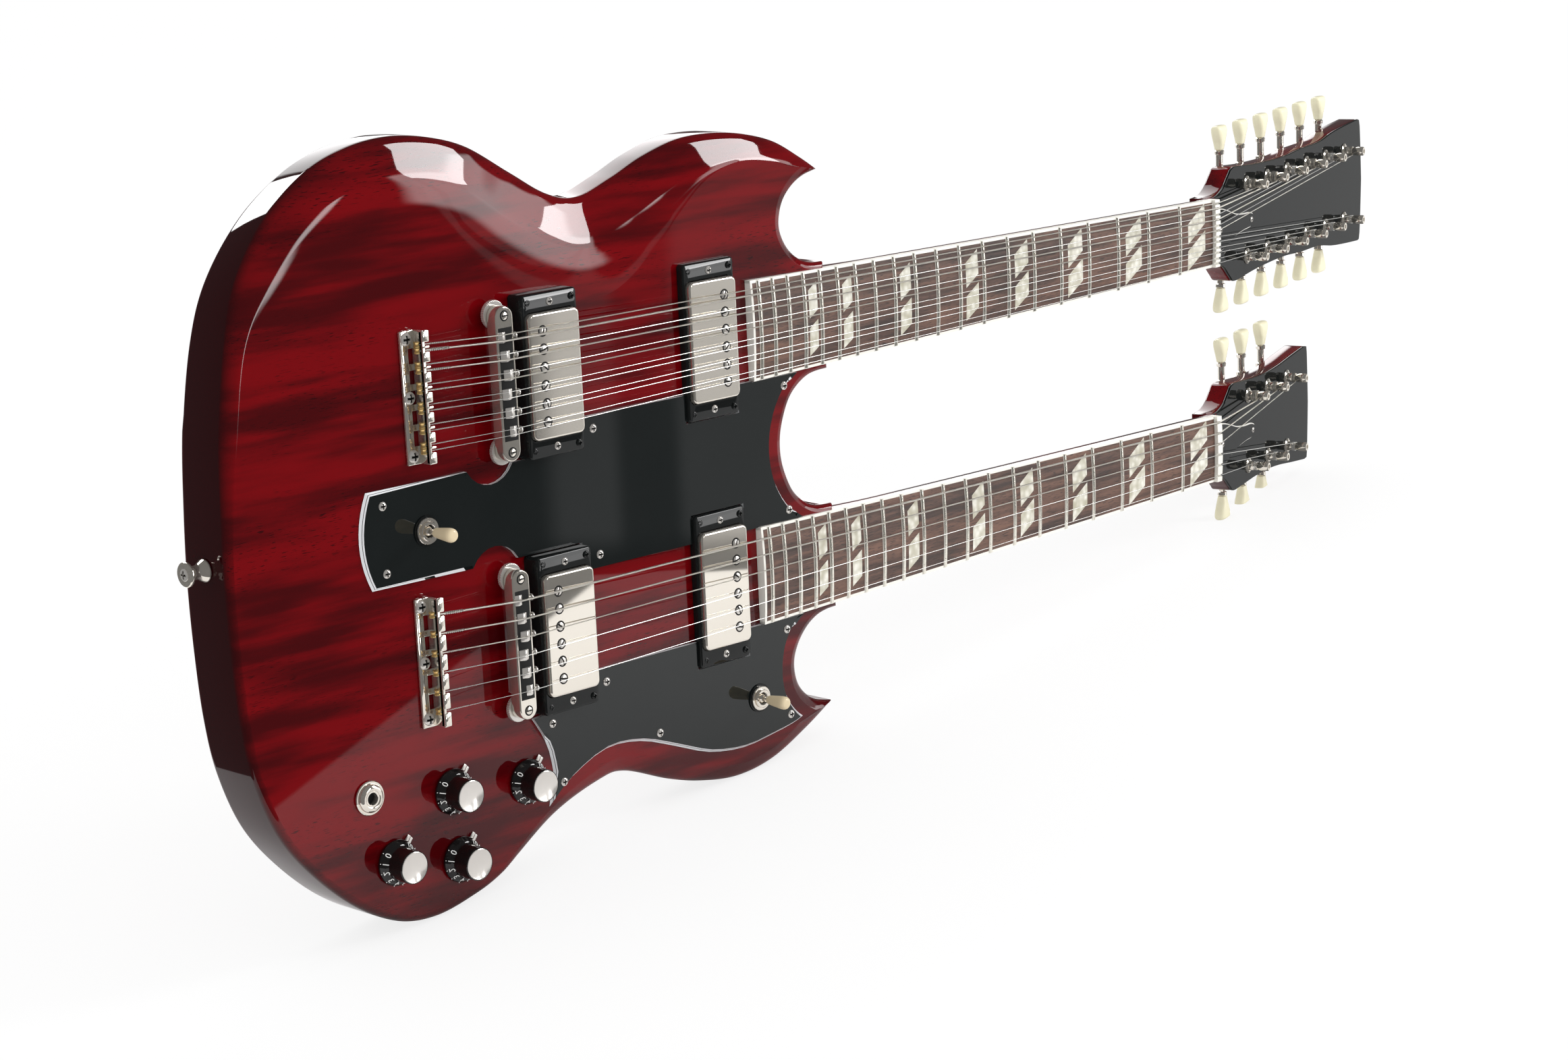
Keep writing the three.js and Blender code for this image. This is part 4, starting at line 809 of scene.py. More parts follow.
@dataclass(frozen=True)
class Winding:
    """Round-wound string: fine ridges across the string, painted darker between them as painted shade."""

    name: str
    tint: Triple
    ridges: float

    def build(self) -> Material:
        """Builds the finish.

        Returns:
            The material.
        """
        shader = Shader(self.name)
        values = {"Vector": shader.place((1.0, 0.0, 0.0)), "Scale": self.ridges, "Distortion": 0.0}
        wave = Number(shader, shader.node("ShaderNodeTexWave", {}, values).outputs[1])
        # painted shade: the grooves between the ridges are darker
        shader.set(base_color=shader.mix(wave, tuple(0.55 * part for part in self.tint), self.tint))
        shader.set(metallic=1.0, roughness=0.28)
        shader.bump(wave, 0.4, 0.0002)
        return shader.material


@dataclass(frozen=True)
class Plastic:
    """Moulded or polished plastic with a slight cloud in its colour."""

    name: str
    tint: Triple
    gloss: float
    cloud: float = 0.08
    coat: float = 0.0
    coat_index: float = 1.5

    def build(self) -> Material:
        """Builds the finish.

        Returns:
            The material.
        """
        shader = Shader(self.name)
        cloud = shader.noise(shader.place((40.0, 40.0, 40.0)), 1.0, 3.0)
        fine = shader.noise(shader.place((900.0, 900.0, 900.0)), 1.0, 2.0)
        dim = tuple(part * (1 - self.cloud) for part in self.tint)
        shader.set(base_color=shader.mix(cloud, dim, self.tint), roughness=fine * 0.04 + self.gloss)
        shader.set(coat_weight=self.coat, coat_roughness=0.03, coat_ior=self.coat_index)
        if self.coat:
            shader.set(specular_ior_level=0.0)
        return shader.material


@dataclass(frozen=True)
class Pearl:
    """Pearloid: pale cloudy cells with a nacreous gloss."""

    pale: Triple = (0.86, 0.84, 0.76)
    shade: Triple = (0.5, 0.47, 0.36)

    def build(self) -> Material:
        """Builds the finish.

        Returns:
            The material.
        """
        shader = Shader("pearloid")
        values = {"Vector": shader.place((1.0, 1.0, 1.0)), "Scale": 260.0}
        cells = shader.node("ShaderNodeTexVoronoi", {"feature": "SMOOTH_F1"}, values)
        cloud = shader.noise(shader.place((150.0, 150.0, 60.0)), 1.0, 3.0)
        depth = Number(shader, cells.outputs["Distance"]) * 0.8 + cloud * 0.7
        shader.set(base_color=shader.mix(depth.ramp(0.3, 1.0), self.pale, self.shade), roughness=0.22)
        shader.set(coat_weight=0.6, coat_roughness=0.05)
        return shader.material


@dataclass(frozen=True)
class Plies:
    """Black sheet over white and black layers, which show at the bevelled edge."""

    surface: float
    layers: Triple = (0.2, 0.95, 1.2)

    def build(self) -> Material:
        """The material; the depth below the surface, in millimetres, picks the layer.

        Returns:
            The material.
        """
        shader = Shader("guard_plies")
        depth = (shader.axis("Y") - self.surface * MM) * 1000.0
        first, second, third = self.layers
        white = depth.above(first) * (1 - depth.above(second)) + depth.above(third)
        cloud = shader.noise(shader.place((25.0, 25.0, 25.0)), 1.0, 2.0)
        black = shader.mix(cloud, (0.005, 0.007, 0.007), (0.008, 0.01, 0.01))
        shader.set(base_color=shader.mix(white, black, (0.82, 0.83, 0.85)), roughness=0.3)
        shader.set(specular_ior_level=0.0, coat_weight=1.0, coat_roughness=0.02)
        return shader.material


def ready(kind: object, slot: str) -> Look:
    """A field that holds a built finish with its slot."""
    return field(default_factory=lambda: Look(kind.build(), slot))


@dataclass
class Finishes:
    """All finishes, built once."""

    lacquer: Look = ready(Lacquer(), "cherry_lacquer")
    rosewood: Look = ready(Rosewood(), "rosewood")
    nickel: Look = ready(Metal("nickel", (0.83, 0.78, 0.7), 0.03, 0.01, 0.9), "nickel")
    satin_nickel: Look = ready(Metal("satin_nickel", (0.74, 0.71, 0.67), 0.14, 0.05, 0.7), "nickel")
    brass: Look = ready(Metal("brass", (0.85, 0.6, 0.25), 0.2), "nickel")
    fret_wire: Look = ready(Metal("fret_wire", (0.86, 0.83, 0.74), 0.16), "nickel")
    plain_string: Look = ready(Metal("plain_string", (0.9, 0.89, 0.86), 0.14), "nickel")
    wound_string: Look = ready(Winding("wound_string", (0.86, 0.82, 0.75), 900.0), "nickel")
    binding: Look = ready(Plastic("binding", (0.88, 0.86, 0.8), 0.25, 0.05, 0.4), "bone_white")
    bone: Look = ready(Plastic("bone", (0.86, 0.84, 0.77), 0.3), "bone_white")
    pearl: Look = ready(Pearl(), "bone_white")
    guard: Look = ready(Plies(FACE_Y - GUARD_TOP), "black_gloss")
    black: Look = ready(Plastic("black_plastic", (0.007, 0.008, 0.008), 0.3, 0.1, 0.6), "black_satin")
    veneer: Look = ready(Plastic("black_veneer", (0.006, 0.007, 0.007), 0.3, 0.2, 0.55, 1.36), "black_gloss")
    knob: Look = ready(Plastic("knob_plastic", (0.008, 0.007, 0.007), 0.3, 0.2, 1.0), "black_gloss")
    cream: Look = ready(Plastic("cream_plastic", (0.86, 0.82, 0.6), 0.2, 0.1, 0.5), "cream")
    amber: Look = ready(Plastic("amber_plastic", (0.72, 0.6, 0.4), 0.2, 0.1, 0.5), "cream")
    white: Look = ready(Plastic("white_ink", (0.8, 0.8, 0.78), 0.4), "bone_white")
    # painted shadow: a near-black finish put in slots, holes and bores where only shade falls
    shadow: Look = ready(Plastic("painted_shadow", (0.004, 0.004, 0.004), 0.8), "black_satin")


# Small parts


def screw_head(radius: float, rise: float, cross: bool = True, depth: float = 0.9) -> Shape:
    """A domed head on a polar grid, with a cross or a single slot pressed into it.

    Args:
        radius: of the head.
        rise: of the dome.
        cross: a cross recess, otherwise a slot.
        depth: of the recess.

    Returns:
        The head, standing on height zero.
    """
    rings, segments = 22, 64
    share = np.linspace(0, 1, rings)[:, None]
    angle = np.linspace(0, 2 * math.pi, segments, endpoint=False)[None]
    x, z = radius * share * np.cos(angle), radius * share * np.sin(angle)
    height = rise * np.sqrt(np.clip(1.04 - share**2, 0, 1)) + 0 * angle
    arm, reach = 0.17 * radius, 0.66 * radius
    first = (np.abs(x) < arm) & (np.abs(z) < (reach if cross else 2 * radius))
    second = (np.abs(z) < arm) & (np.abs(x) < reach) if cross else np.zeros_like(first)
    height = height - depth * (first | second)
    top = np.stack([x, -height, z], -1)
    foot = top[-1:] * np.array([1.0, 0.0, 1.0]) + np.array([0.0, 0.4, 0.0])
    # the recess's points carry painted shade
    recess = np.concatenate([(first | second).ravel(), np.zeros(segments)])
    shape = skin(np.concatenate([top, foot]))
    return Shape(shape.points, shape.faces, recess.astype(float))


def knurled(radius: float, low: float, high: float, teeth: int, notch: float) -> Shape:
    """A disc whose rim waves in and out, with chamfered edges.

    Args:
        radius: over the teeth.
        low: height of the back.
        high: height of the front.
        teeth: how many.
        notch: depth between them.

    Returns:
        The disc.
    """
    angle = np.linspace(0, 2 * math.pi, teeth * 4, endpoint=False)
    wave = radius - notch * (0.5 + 0.5 * np.cos(angle * teeth))
    outline = np.stack([np.cos(angle) * wave, np.sin(angle) * wave], -1)
    return plate(outline, low, high, 0.25, 2)


def knurled_ring(inner: float, outer: float, low: float, high: float, teeth: int) -> Shape:
    """A washer whose rim waves: its radius swings with the cosine of the turn times the teeth.

    Args:
        inner: radius of the hole.
        outer: radius over the teeth.
        low: height of the back.
        high: height of the front.
        teeth: how many.

    Returns:
        The washer.
    """
    ring = washer(inner, outer, low, high, 0.3)
    turn = np.arctan2(ring.points[:, 2], ring.points[:, 0])
    away = np.hypot(ring.points[:, 0], ring.points[:, 2])
    scale = 1 - 0.02 * (away > outer - 0.5) * (0.5 + 0.5 * np.cos(turn * teeth))
    return Shape(ring.points * np.stack([scale, np.ones_like(scale), scale], -1), ring.faces)


def washer(inner: float, outer: float, low: float, high: float, edge: float = 0.25) -> Shape:
    """A ring with a square section and softened edges.

    Args:
        inner: radius of the hole.
        outer: radius of the rim.
        low: height of the back.
        high: height of the front.
        edge: width of the softening.

    Returns:
        The ring.
    """
    profile = [
        (inner, low),
        (outer - edge, low),
        (outer, low + edge),
        (outer, high - edge),
        (outer - edge, high),
        (inner + edge, high),
        (inner, high - edge),
        (inner, low),
    ]
    return lathe(profile, 64)


# Body


@dataclass
class SolidBody:
    """The lacquered body. Rows of the edge hold shares of length and height and two bevel shares."""

    finishes: Finishes
    edge_round: float = 4.0
    front_bevel: float = 24.0
    front_drop: float = 8.0
    crease_width: float = 26.0
    crease_drop: float = 1.3
    crease_end: float = 0.85  # share of the length where the crease has died out
    crease_fade: float = 0.25
    crease_bevel: float = 12.0  # a bevel this wide has the full crease
    pale_from: float = 0.15
    # the painted shade of the body's edge fades towards the neck: from this share of the length, over this
    # share, and by this much
    pale_over: float = 0.6
    pale_share: float = 0.75
    back_bevel: float = 30.0
    back_drop: float = 10.0
    cutaway_depth: float = 32.5
    middle_depth: float = 39.0
    horn_setback: float = 5.0
    cutaway_bevel_share: float = 0.06
    edge_shares: tuple[tuple[float, float, float, float], ...] = (
        (0.989, -0.379, 0.12, 0.12), (0.939, -0.409, 0.22, 0.4), (0.872, -0.438, 0.17, 0.5),
        (0.806, -0.448, 0.2, 0.5), (0.742, -0.44, 0.29, 0.5), (0.683, -0.423, 0.28, 0.5),
        (0.606, -0.393, 0.25, 0.5), (0.559, -0.395, 0.22, 0.4), (0.477, -0.422, 0.1, 0.25),
        (0.387, -0.477, 0, 0.05), (0.33, -0.498, 0, 0), (0.272, -0.508, 0, 0), (0.215, -0.499, 0, 0),
        (0.151, -0.462, 0, 0), (0.09, -0.404, 0, 0), (0.046, -0.343, 0, 0), (0.018, -0.268, 0, 0),
        (0.006, -0.196, 0, 0), (0.001, -0.11, 0, 0), (0, -0.02, 0, 0), (0.004, 0.07, 0.06, 0),
        (0.012, 0.165, 0.15, 0), (0.03, 0.27, 0.2, 0.15), (0.055, 0.343, 0.44, 0.4),
        (0.105, 0.412, 0.6, 0.7), (0.17, 0.461, 0.72, 0.9), (0.232, 0.484, 0.77, 1), (0.297, 0.491, 0.8, 1),
        (0.36, 0.483, 0.83, 1), (0.419, 0.464, 0.9, 0.95), (0.485, 0.425, 1, 0.85), (0.543, 0.391, 1, 0.8),
        (0.592, 0.381, 1, 0.8), (0.65, 0.399, 0.94, 0.8), (0.704, 0.421, 0.88, 0.8),
        (0.76, 0.436, 0.76, 0.75), (0.815, 0.4385, 0.6, 0.7), (0.87, 0.432, 0.44, 0.6),
        (0.925, 0.416, 0.32, 0.45), (0.97, 0.39, 0.16, 0.25), (1, 0.37, 0.12, 0.12),
    )
    cutaway_shares: Pairs = (
        (0, 0), (0.25, 0.01), (0.5, 0.05), (0.74, 0.15), (0.91, 0.28), (1, 0.43), (0.98, 0.58),
        (0.87, 0.73), (0.65, 0.86), (0.36, 0.95), (0, 1),
    )
    middle_shares: Pairs = (
        (0, 0), (0.22, 0.005), (0.42, 0.025), (0.62, 0.08), (0.8, 0.17), (0.93, 0.3), (1, 0.43), (1, 0.57),
        (0.93, 0.7), (0.8, 0.83), (0.62, 0.92), (0.42, 0.975), (0.22, 0.995), (0, 1),
    )

    def cutaway(
        self, shares: Pairs, corner: np.ndarray, tip: np.ndarray, depth: float, tip_share: float
    ) -> np.ndarray:
        """One cutaway: each row's depth share goes back from the line between corner and tip.

        Args:
            shares: depth share and share of the way across, per row.
            corner: the tongue's corner in X and Z.
            tip: the far end in X and Z.
            depth: of the cutaway.
            tip_share: bevel share at the far end.

        Returns:
            Rows of x, z, front bevel share and back bevel share.
        """
        deep, along = smooth_rows(np.array(shares, float), 10).T
        line = corner + (tip - corner) * along[:, None]
        bevel = self.cutaway_bevel_share * np.sin(math.pi * along) + tip_share * along**2
        return np.stack([line[:, 0] - depth * deep, line[:, 1], bevel, bevel], -1)

    def outline(self) -> tuple[np.ndarray, list[int]]:
        """The whole outline, clockwise seen from the front.

        Returns:
            Rows of x, z, front bevel share and back bevel share, and the rows that are corners.
        """
        outer = smooth_rows(np.array(self.edge_shares), 10)
        outer[:, :2] = outer[:, :2] * [BODY_LENGTH, BODY_HEIGHT] + [TAIL_EDGE, 0]
        outer[:, 2:] = np.maximum(outer[:, 2:], 0)
        lower_tip = np.array([TONGUE_END - self.horn_setback, BODY_HEIGHT * self.edge_shares[0][1]])
        upper_tip = np.array([TONGUE_END, BODY_HEIGHT * self.edge_shares[-1][1]])
        outer[0, :2], outer[-1, :2] = lower_tip, upper_tip

        def corner(neck: Neck, side: int) -> np.ndarray:
            """A corner of a tongue."""
            return np.array([TONGUE_END, neck.line + side * TONGUE_WIDTH / 2])

        tip, depth = self.edge_shares[0][2], self.cutaway_depth
        upper = self.cutaway(self.cutaway_shares, corner(Neck.TWELVE, 1), upper_tip, depth, tip)[::-1]
        lower = self.cutaway(self.cutaway_shares, corner(Neck.SIX, -1), lower_tip, depth, tip)
        inner = corner(Neck.SIX, 1), corner(Neck.TWELVE, -1)
        middle = self.cutaway(self.middle_shares, *inner, self.middle_depth, 0.0)[::-1]
        rows = np.concatenate([outer, upper[1:], middle, lower[:-1]])
        ends = np.cumsum([len(outer) - 1, len(upper) - 1, 1, len(middle) - 1, 1])
        return rows, [0, *ends.tolist()]

    def ring(self, rows: np.ndarray, corners: list[int], widths: np.ndarray, depth: np.ndarray) -> np.ndarray:
        """The outline drawn in by a width at each point; beside a corner, crossing points meet.

        Args:
            rows: the outline.
            corners: the rows that are corners.
            widths: how far each point is drawn in.
            depth: Y of each point.

        Returns:
            The ring's points.
        """
        edge = rows[:, :2]
        ahead = np.roll(edge, -1, 0) - edge
        ahead = ahead / np.linalg.norm(ahead, axis=1, keepdims=True)
        inward = np.stack([ahead[:, 1], -ahead[:, 0]], 1)
        mean = inward + np.roll(inward, 1, 0)
        mean = mean / np.linalg.norm(mean, axis=1, keepdims=True)
        drawn = edge + mean * widths[:, None]
        count = len(rows)
        for index in corners:
            before, after = inward[index - 1], inward[index]
            turn = cross(before, after)
            wide_before, wide_after = widths[index - 1], widths[(index + 1) % count]
            across = wide_before * after[1] - wide_after * before[1]
            shift = np.array([across / turn, (wide_after * before[0] - wide_before * after[0]) / turn])
            if np.linalg.norm(shift) < 1e-6:
                continue
            for way in (-1, 1):
                beside = (index + way * np.arange(1, count // 8)) % count
                side = np.sign(cross(shift, edge[beside[0]] - edge[index]))
                crosses = cross(shift, drawn[beside] - edge[index]) * side <= 0
                drawn[beside[: np.argmin(crosses)]] = edge[index] + shift
            drawn[index] = edge[index] + shift
        return np.stack([drawn[:, 0], depth, drawn[:, 1]], -1)

    def shell(self) -> Shape:
        """The body from its front face to its back, with painted shade round the edge that is darkest towards
        the tail.

        On each side the rings go outwards: a dipping crease, then a bevel that falls ever more
        steeply, then a quadratic curve down to the wall.

        Returns:
            The body.
        """
        rows, corners = self.outline()
        front, back = rows[:, 2], rows[:, 3]
        round_edge = self.edge_round
        rings, shades = [], []

        def add(widths: np.ndarray, depth: np.ndarray, shade: float) -> None:
            """Adds one ring."""
            rings.append(self.ring(rows, corners, widths, depth))
            shades.append(np.full(len(rows), shade))

        sides = (
            (self.front_bevel * front, self.front_drop * front, front, FACE_Y, 1),
            (self.back_bevel * back, self.back_drop * back, 0 * back, BACK_Y, -1),
        )
        for bevel, drop, soft, start, way in sides:
            wide = bevel + round_edge
            left = self.crease_end - (rows[:, 0] - TAIL_EDGE) / BODY_LENGTH
            soft = soft * np.clip(left / self.crease_fade, 0, 1)
            dip = self.crease_drop * soft * np.clip(bevel / self.crease_bevel, 0, 1)
            # each level holds a width, a fall and a painted shade: none on the face and crease, rising over
            # the bevel and the rounding to full on the wall
            levels = [(wide + self.crease_width * soft + 1.2, 0 * drop, 0.0)]
            for share in np.linspace(0, 1, 8)[:-1]:
                levels.append((wide + self.crease_width * soft * (1 - share) + 0.3, dip * share**2, 0.0))
            for share in np.linspace(0, 1, 7):
                fall = dip + (drop - dip) * (np.sqrt(share**2 + 0.004) - 0.063) / 0.94
                levels.append((wide - bevel * share, fall, 0.3 * share))
            slope = drop / np.maximum(bevel, 0.5)
            control = np.minimum(drop + slope * round_edge, drop + round_edge * 0.8)
            for t in np.linspace(0.14, 1, 7):
                width = round_edge * (1 - t) ** 2
                fall = drop * (1 - t) ** 2 + 2 * control * t * (1 - t) + (drop + round_edge) * t**2
                levels.append((width + 0 * drop, fall, 0.3 + 0.7 * t))
            for width, fall, shade in levels[::way]:
                add(width, start + way * fall, shade)
        wall = skin(np.array(rings), caps=False)
        # the painted shade fades towards the neck end, so that the edge is darkest towards the tail
        along = (wall.points[:, 0] - TAIL_EDGE) / BODY_LENGTH
        pale = np.clip((along - self.pale_from) / self.pale_over, 0, 1)
        wall.shade = np.concatenate(shades) * (1 - self.pale_share * pale)
        return joined([wall, filled_rim(rings[0], 1), filled_rim(rings[-1], -1)])

    def build(self) -> None:
        """Makes the body."""
        lacquer = self.finishes.lacquer
        body = make_piece("body_shell", self.shell(), lacquer, replaces=("body",), sharp=50)
        faces = body.data.polygons
        faces.foreach_set("use_smooth", np.abs(rows_of(faces, "normal", 3)[:, 1]) < LEVEL)


# Necks


@dataclass
class NeckWood:
    """Neck shaft with heel, and the headstock wood under its veneer."""

    finishes: Finishes
    neck: Neck
    nut_width: float = 43.6
    end_width: float = 57.3
    board_thickness: float = 5.7
    depth: float = 15.0
    growth: float = 2.5
    heel_depth: float = 29.0
    heel_length: float = 46.0
    waist: float = 34.0
    head_thickness: float = 15.0
    plate: float = 1.8
    veneer_start: float = 2.2
    neck_shade: float = 0.25
    heel_shares: Pairs = ((0, 1), (0.22, 0.86), (0.45, 0.52), (0.7, 0.18), (1, 0))
    twelve_shares: Pairs = (
        (0.04, 0.66), (0.08, 0.77), (0.115, 0.98), (0.14, 1.1), (0.2, 1.075), (0.28, 1.03), (0.39, 1),
        (0.48, 1), (0.57, 1.04), (0.7, 1.06), (0.79, 1.16), (0.88, 1.22), (0.975, 1.265),
    )
    six_shares: Pairs = (
        (0.06, 0.66), (0.12, 0.76), (0.17, 0.95), (0.205, 1.06), (0.3, 1.04), (0.42, 1), (0.55, 0.985),
        (0.68, 1.02), (0.82, 1.1), (0.96, 1.174),
    )

    @property
    def length(self) -> float:
        """Length of the headstock's face."""
        return 283.6 if self.neck is Neck.TWELVE else 176.0

    def half_board(self, x: np.ndarray) -> np.ndarray:
        """Half the board's width: it grows evenly from the nut to the board's end."""
        return (self.nut_width + (self.end_width - self.nut_width) * -x / BOARD_LENGTH) / 2

    def head_outline(self) -> np.ndarray:
        """The headstock's outline: smooth sides and a gently curved end.

        Returns:
            Points in X and Z.
        """
        shares = self.twelve_shares if self.neck is Neck.TWELVE else self.six_shares
        side = np.array([(0.0, self.nut_width / 2 / self.waist), *shares])
        side = smooth_rows(side, 6) * [self.length, self.waist]
        corner = side[-1]
        turn = np.linspace(0.12, 1, 10)[:, None]
        end = np.concatenate([self.length * (0.985 + 0.015 * turn**0.6), corner[1] * (1 - turn)], 1)
        upper = np.concatenate([side, [[self.length * 0.984, corner[1] * 0.985]], end])
        lower = upper[:-1][::-1] * [1, -1]
        return np.concatenate([upper, lower])

    def shaft(self) -> Shape:
        """The shaft: rings with a flat top and a rounded back, deeper where the heel grows.

        Returns:
            The shaft, in the neck's frame.
        """
        start = TONGUE_IN_NECK + SEAT
        heel_end = TONGUE_IN_NECK + self.heel_length
        along = np.concatenate([np.linspace(start, heel_end, 26), np.linspace(heel_end + 6, 10, 60)])
        share = np.clip((along - TONGUE_IN_NECK) / self.heel_length, 0, 1)
        table = smooth_rows(np.array(self.heel_shares), 8)
        left = np.interp(share, table[:, 0], table[:, 1])
        plain = self.depth + self.growth * np.clip(along / heel_end, 0, 1)
        depth = plain + (self.heel_depth - self.depth - self.growth) * left
        half = self.half_board(np.minimum(along, 0))
        angle = np.linspace(0, math.pi, 41)
        top = self.board_thickness + SEAT
        y = top + depth[:, None] * np.sin(angle)[None] ** 0.75
        z = half[:, None] * np.cos(angle)[None]
        x = np.broadcast_to(along[:, None], y.shape)
        return skin(np.stack([x, y, z], -1))

    def build(self) -> None:
        """Makes the wood and the veneer's face."""
        word, head = self.neck.word, head_frame(self.neck)
        outline = self.head_outline()
        paddle = plate(outline, -self.head_thickness, -self.plate - SEAT, 1.0)
        wood = joined([self.shaft().placed(neck_frame(self.neck)), paddle.placed(head)])
        wood.shade = np.full(len(wood.points), self.neck_shade)
        gone = (f"neck_{word}",)
        make_piece(f"neck_wood_{word}", wood, self.finishes.lacquer, replaces=gone)
        clear = np.stack([np.maximum(outline[:, 0], self.veneer_start), outline[:, 1]], 1)
        veneer = plate(clear, -self.plate, 0.0, 0.35, 2).placed(head)
        make_piece(f"veneer_{word}", veneer, self.finishes.veneer)


@dataclass
class Fingerboard:
    """Rosewood board with binding, nibs, frets and inlays."""

    finishes: Finishes
    wood: NeckWood
    binding: float = 1.6
    fret_width: float = 2.6
    fret_height: float = 1.1
    inlay_frets: tuple[int, ...] = (1, 3, 5, 7, 9, 12, 15, 17)

    def crown(self, z: np.ndarray) -> np.ndarray:
        """How far the crowned top falls below its middle: the sagitta of the crown's circle."""
        return CROWN_RADIUS - np.sqrt(CROWN_RADIUS**2 - z**2)

    def strip(
        self, along: np.ndarray, inner: np.ndarray, outer: np.ndarray, lift: float, depth: float
    ) -> Shape:
        """A strip of the board between two sides, with a crowned top.

        Args:
            along: places along X.
            inner: lower edge in Z at each place.
            outer: upper edge in Z at each place.
            lift: height of the top above the crown.
            depth: the underside, below the crown.

        Returns:
            The strip as a closed shape.
        """
        across = np.linspace(0, 1, 9)[None]
        z = inner[:, None] + (outer - inner)[:, None] * across
        x = np.broadcast_to(along[:, None], z.shape)
        top = np.stack([x, self.crown(z) - lift, z], -1)
        low = np.stack([x[:, ::-1], np.full(z.shape, depth), z[:, ::-1]], -1)
        return skin(np.concatenate([top, low[:, [0, -1]]], 1))

    def fret(self, x: float, half: float, width: float, height: float) -> Shape:
        """A fret: a rounded section carried across the crown.

        Args:
            x: place along the board.
            half: half its length.
            width: of the section.
            height: of the section.

        Returns:
            The fret.
        """
        angle = np.linspace(0, math.pi, 9)
        side = np.cos(angle) * width / 2
        rise = np.sin(angle) ** 0.8 * height
        z = np.linspace(-half, half, 13)[:, None]
        return skin(np.stack(np.broadcast_arrays(x + side, self.crown(z) - rise, z), -1))

    def inlay(self, number: int) -> list[Shape]:
        """Two slanted blocks between two frets, one above the other.

        Args:
            number: the fret that they stand before.

        Returns:
            Both blocks.
        """
        near, far = fret_distance(number - 1), fret_distance(number)
        middle, gap = -(near + far) / 2, far - near
        half = gap * 0.26
        width = 2 * float(self.wood.half_board(np.array(middle)))
        slant = half * 0.62
        side, centre = width * 0.145, width * 0.195
        across = np.linspace(-1, 1, 7)
        x, shift = middle + half * across, slant * across
        return [self.strip(x, z - side + shift, z + side + shift, 0.06, 1.0) for z in (centre, -centre)]

    def build(self) -> None:
        """Makes the board and what is let into it."""
        word, frame = self.wood.neck.word, neck_frame(self.wood.neck)
        along = np.linspace(-BOARD_LENGTH + self.binding, -0.15, 60)
        full = np.linspace(-BOARD_LENGTH, -0.15, 60)
        half = self.wood.half_board(along) - self.binding
        depth = self.wood.board_thickness
        board, gone = self.strip(along, -half, half, 0.0, depth).placed(frame), (f"fingerboard_{word}",)
        make_piece(f"board_{word}", board, self.finishes.rosewood, replaces=gone)
        outer = self.wood.half_board(full)
        strips = [
            self.strip(full, outer - self.binding, outer, 0.02, depth),
            self.strip(full, -outer, self.binding - outer, 0.02, depth),
        ]
        end = np.array([-BOARD_LENGTH, -BOARD_LENGTH + self.binding])
        strips.append(self.strip(end, -self.wood.half_board(end), self.wood.half_board(end), 0.03, depth))
        frets, nibs, marks = [], [], []
        for number in range(1, FRETS + 1):
            x = -fret_distance(number)
            reach = float(self.wood.half_board(np.array(x)))
            frets.append(self.fret(x, reach - 0.5, self.fret_width, self.fret_height))
            nibs.append(self.fret(x, reach - 0.05, self.fret_width * 1.05, self.fret_height * 0.55))
        for number in self.inlay_frets:
            marks += self.inlay(number)
        edging = joined([*strips, *nibs]).placed(frame)
        make_piece(f"binding_{word}", edging, self.finishes.binding)
        make_piece(f"frets_{word}", joined(frets).placed(frame), self.finishes.fret_wire)
        make_piece(f"inlays_{word}", joined(marks).placed(frame), self.finishes.pearl)


# Strings


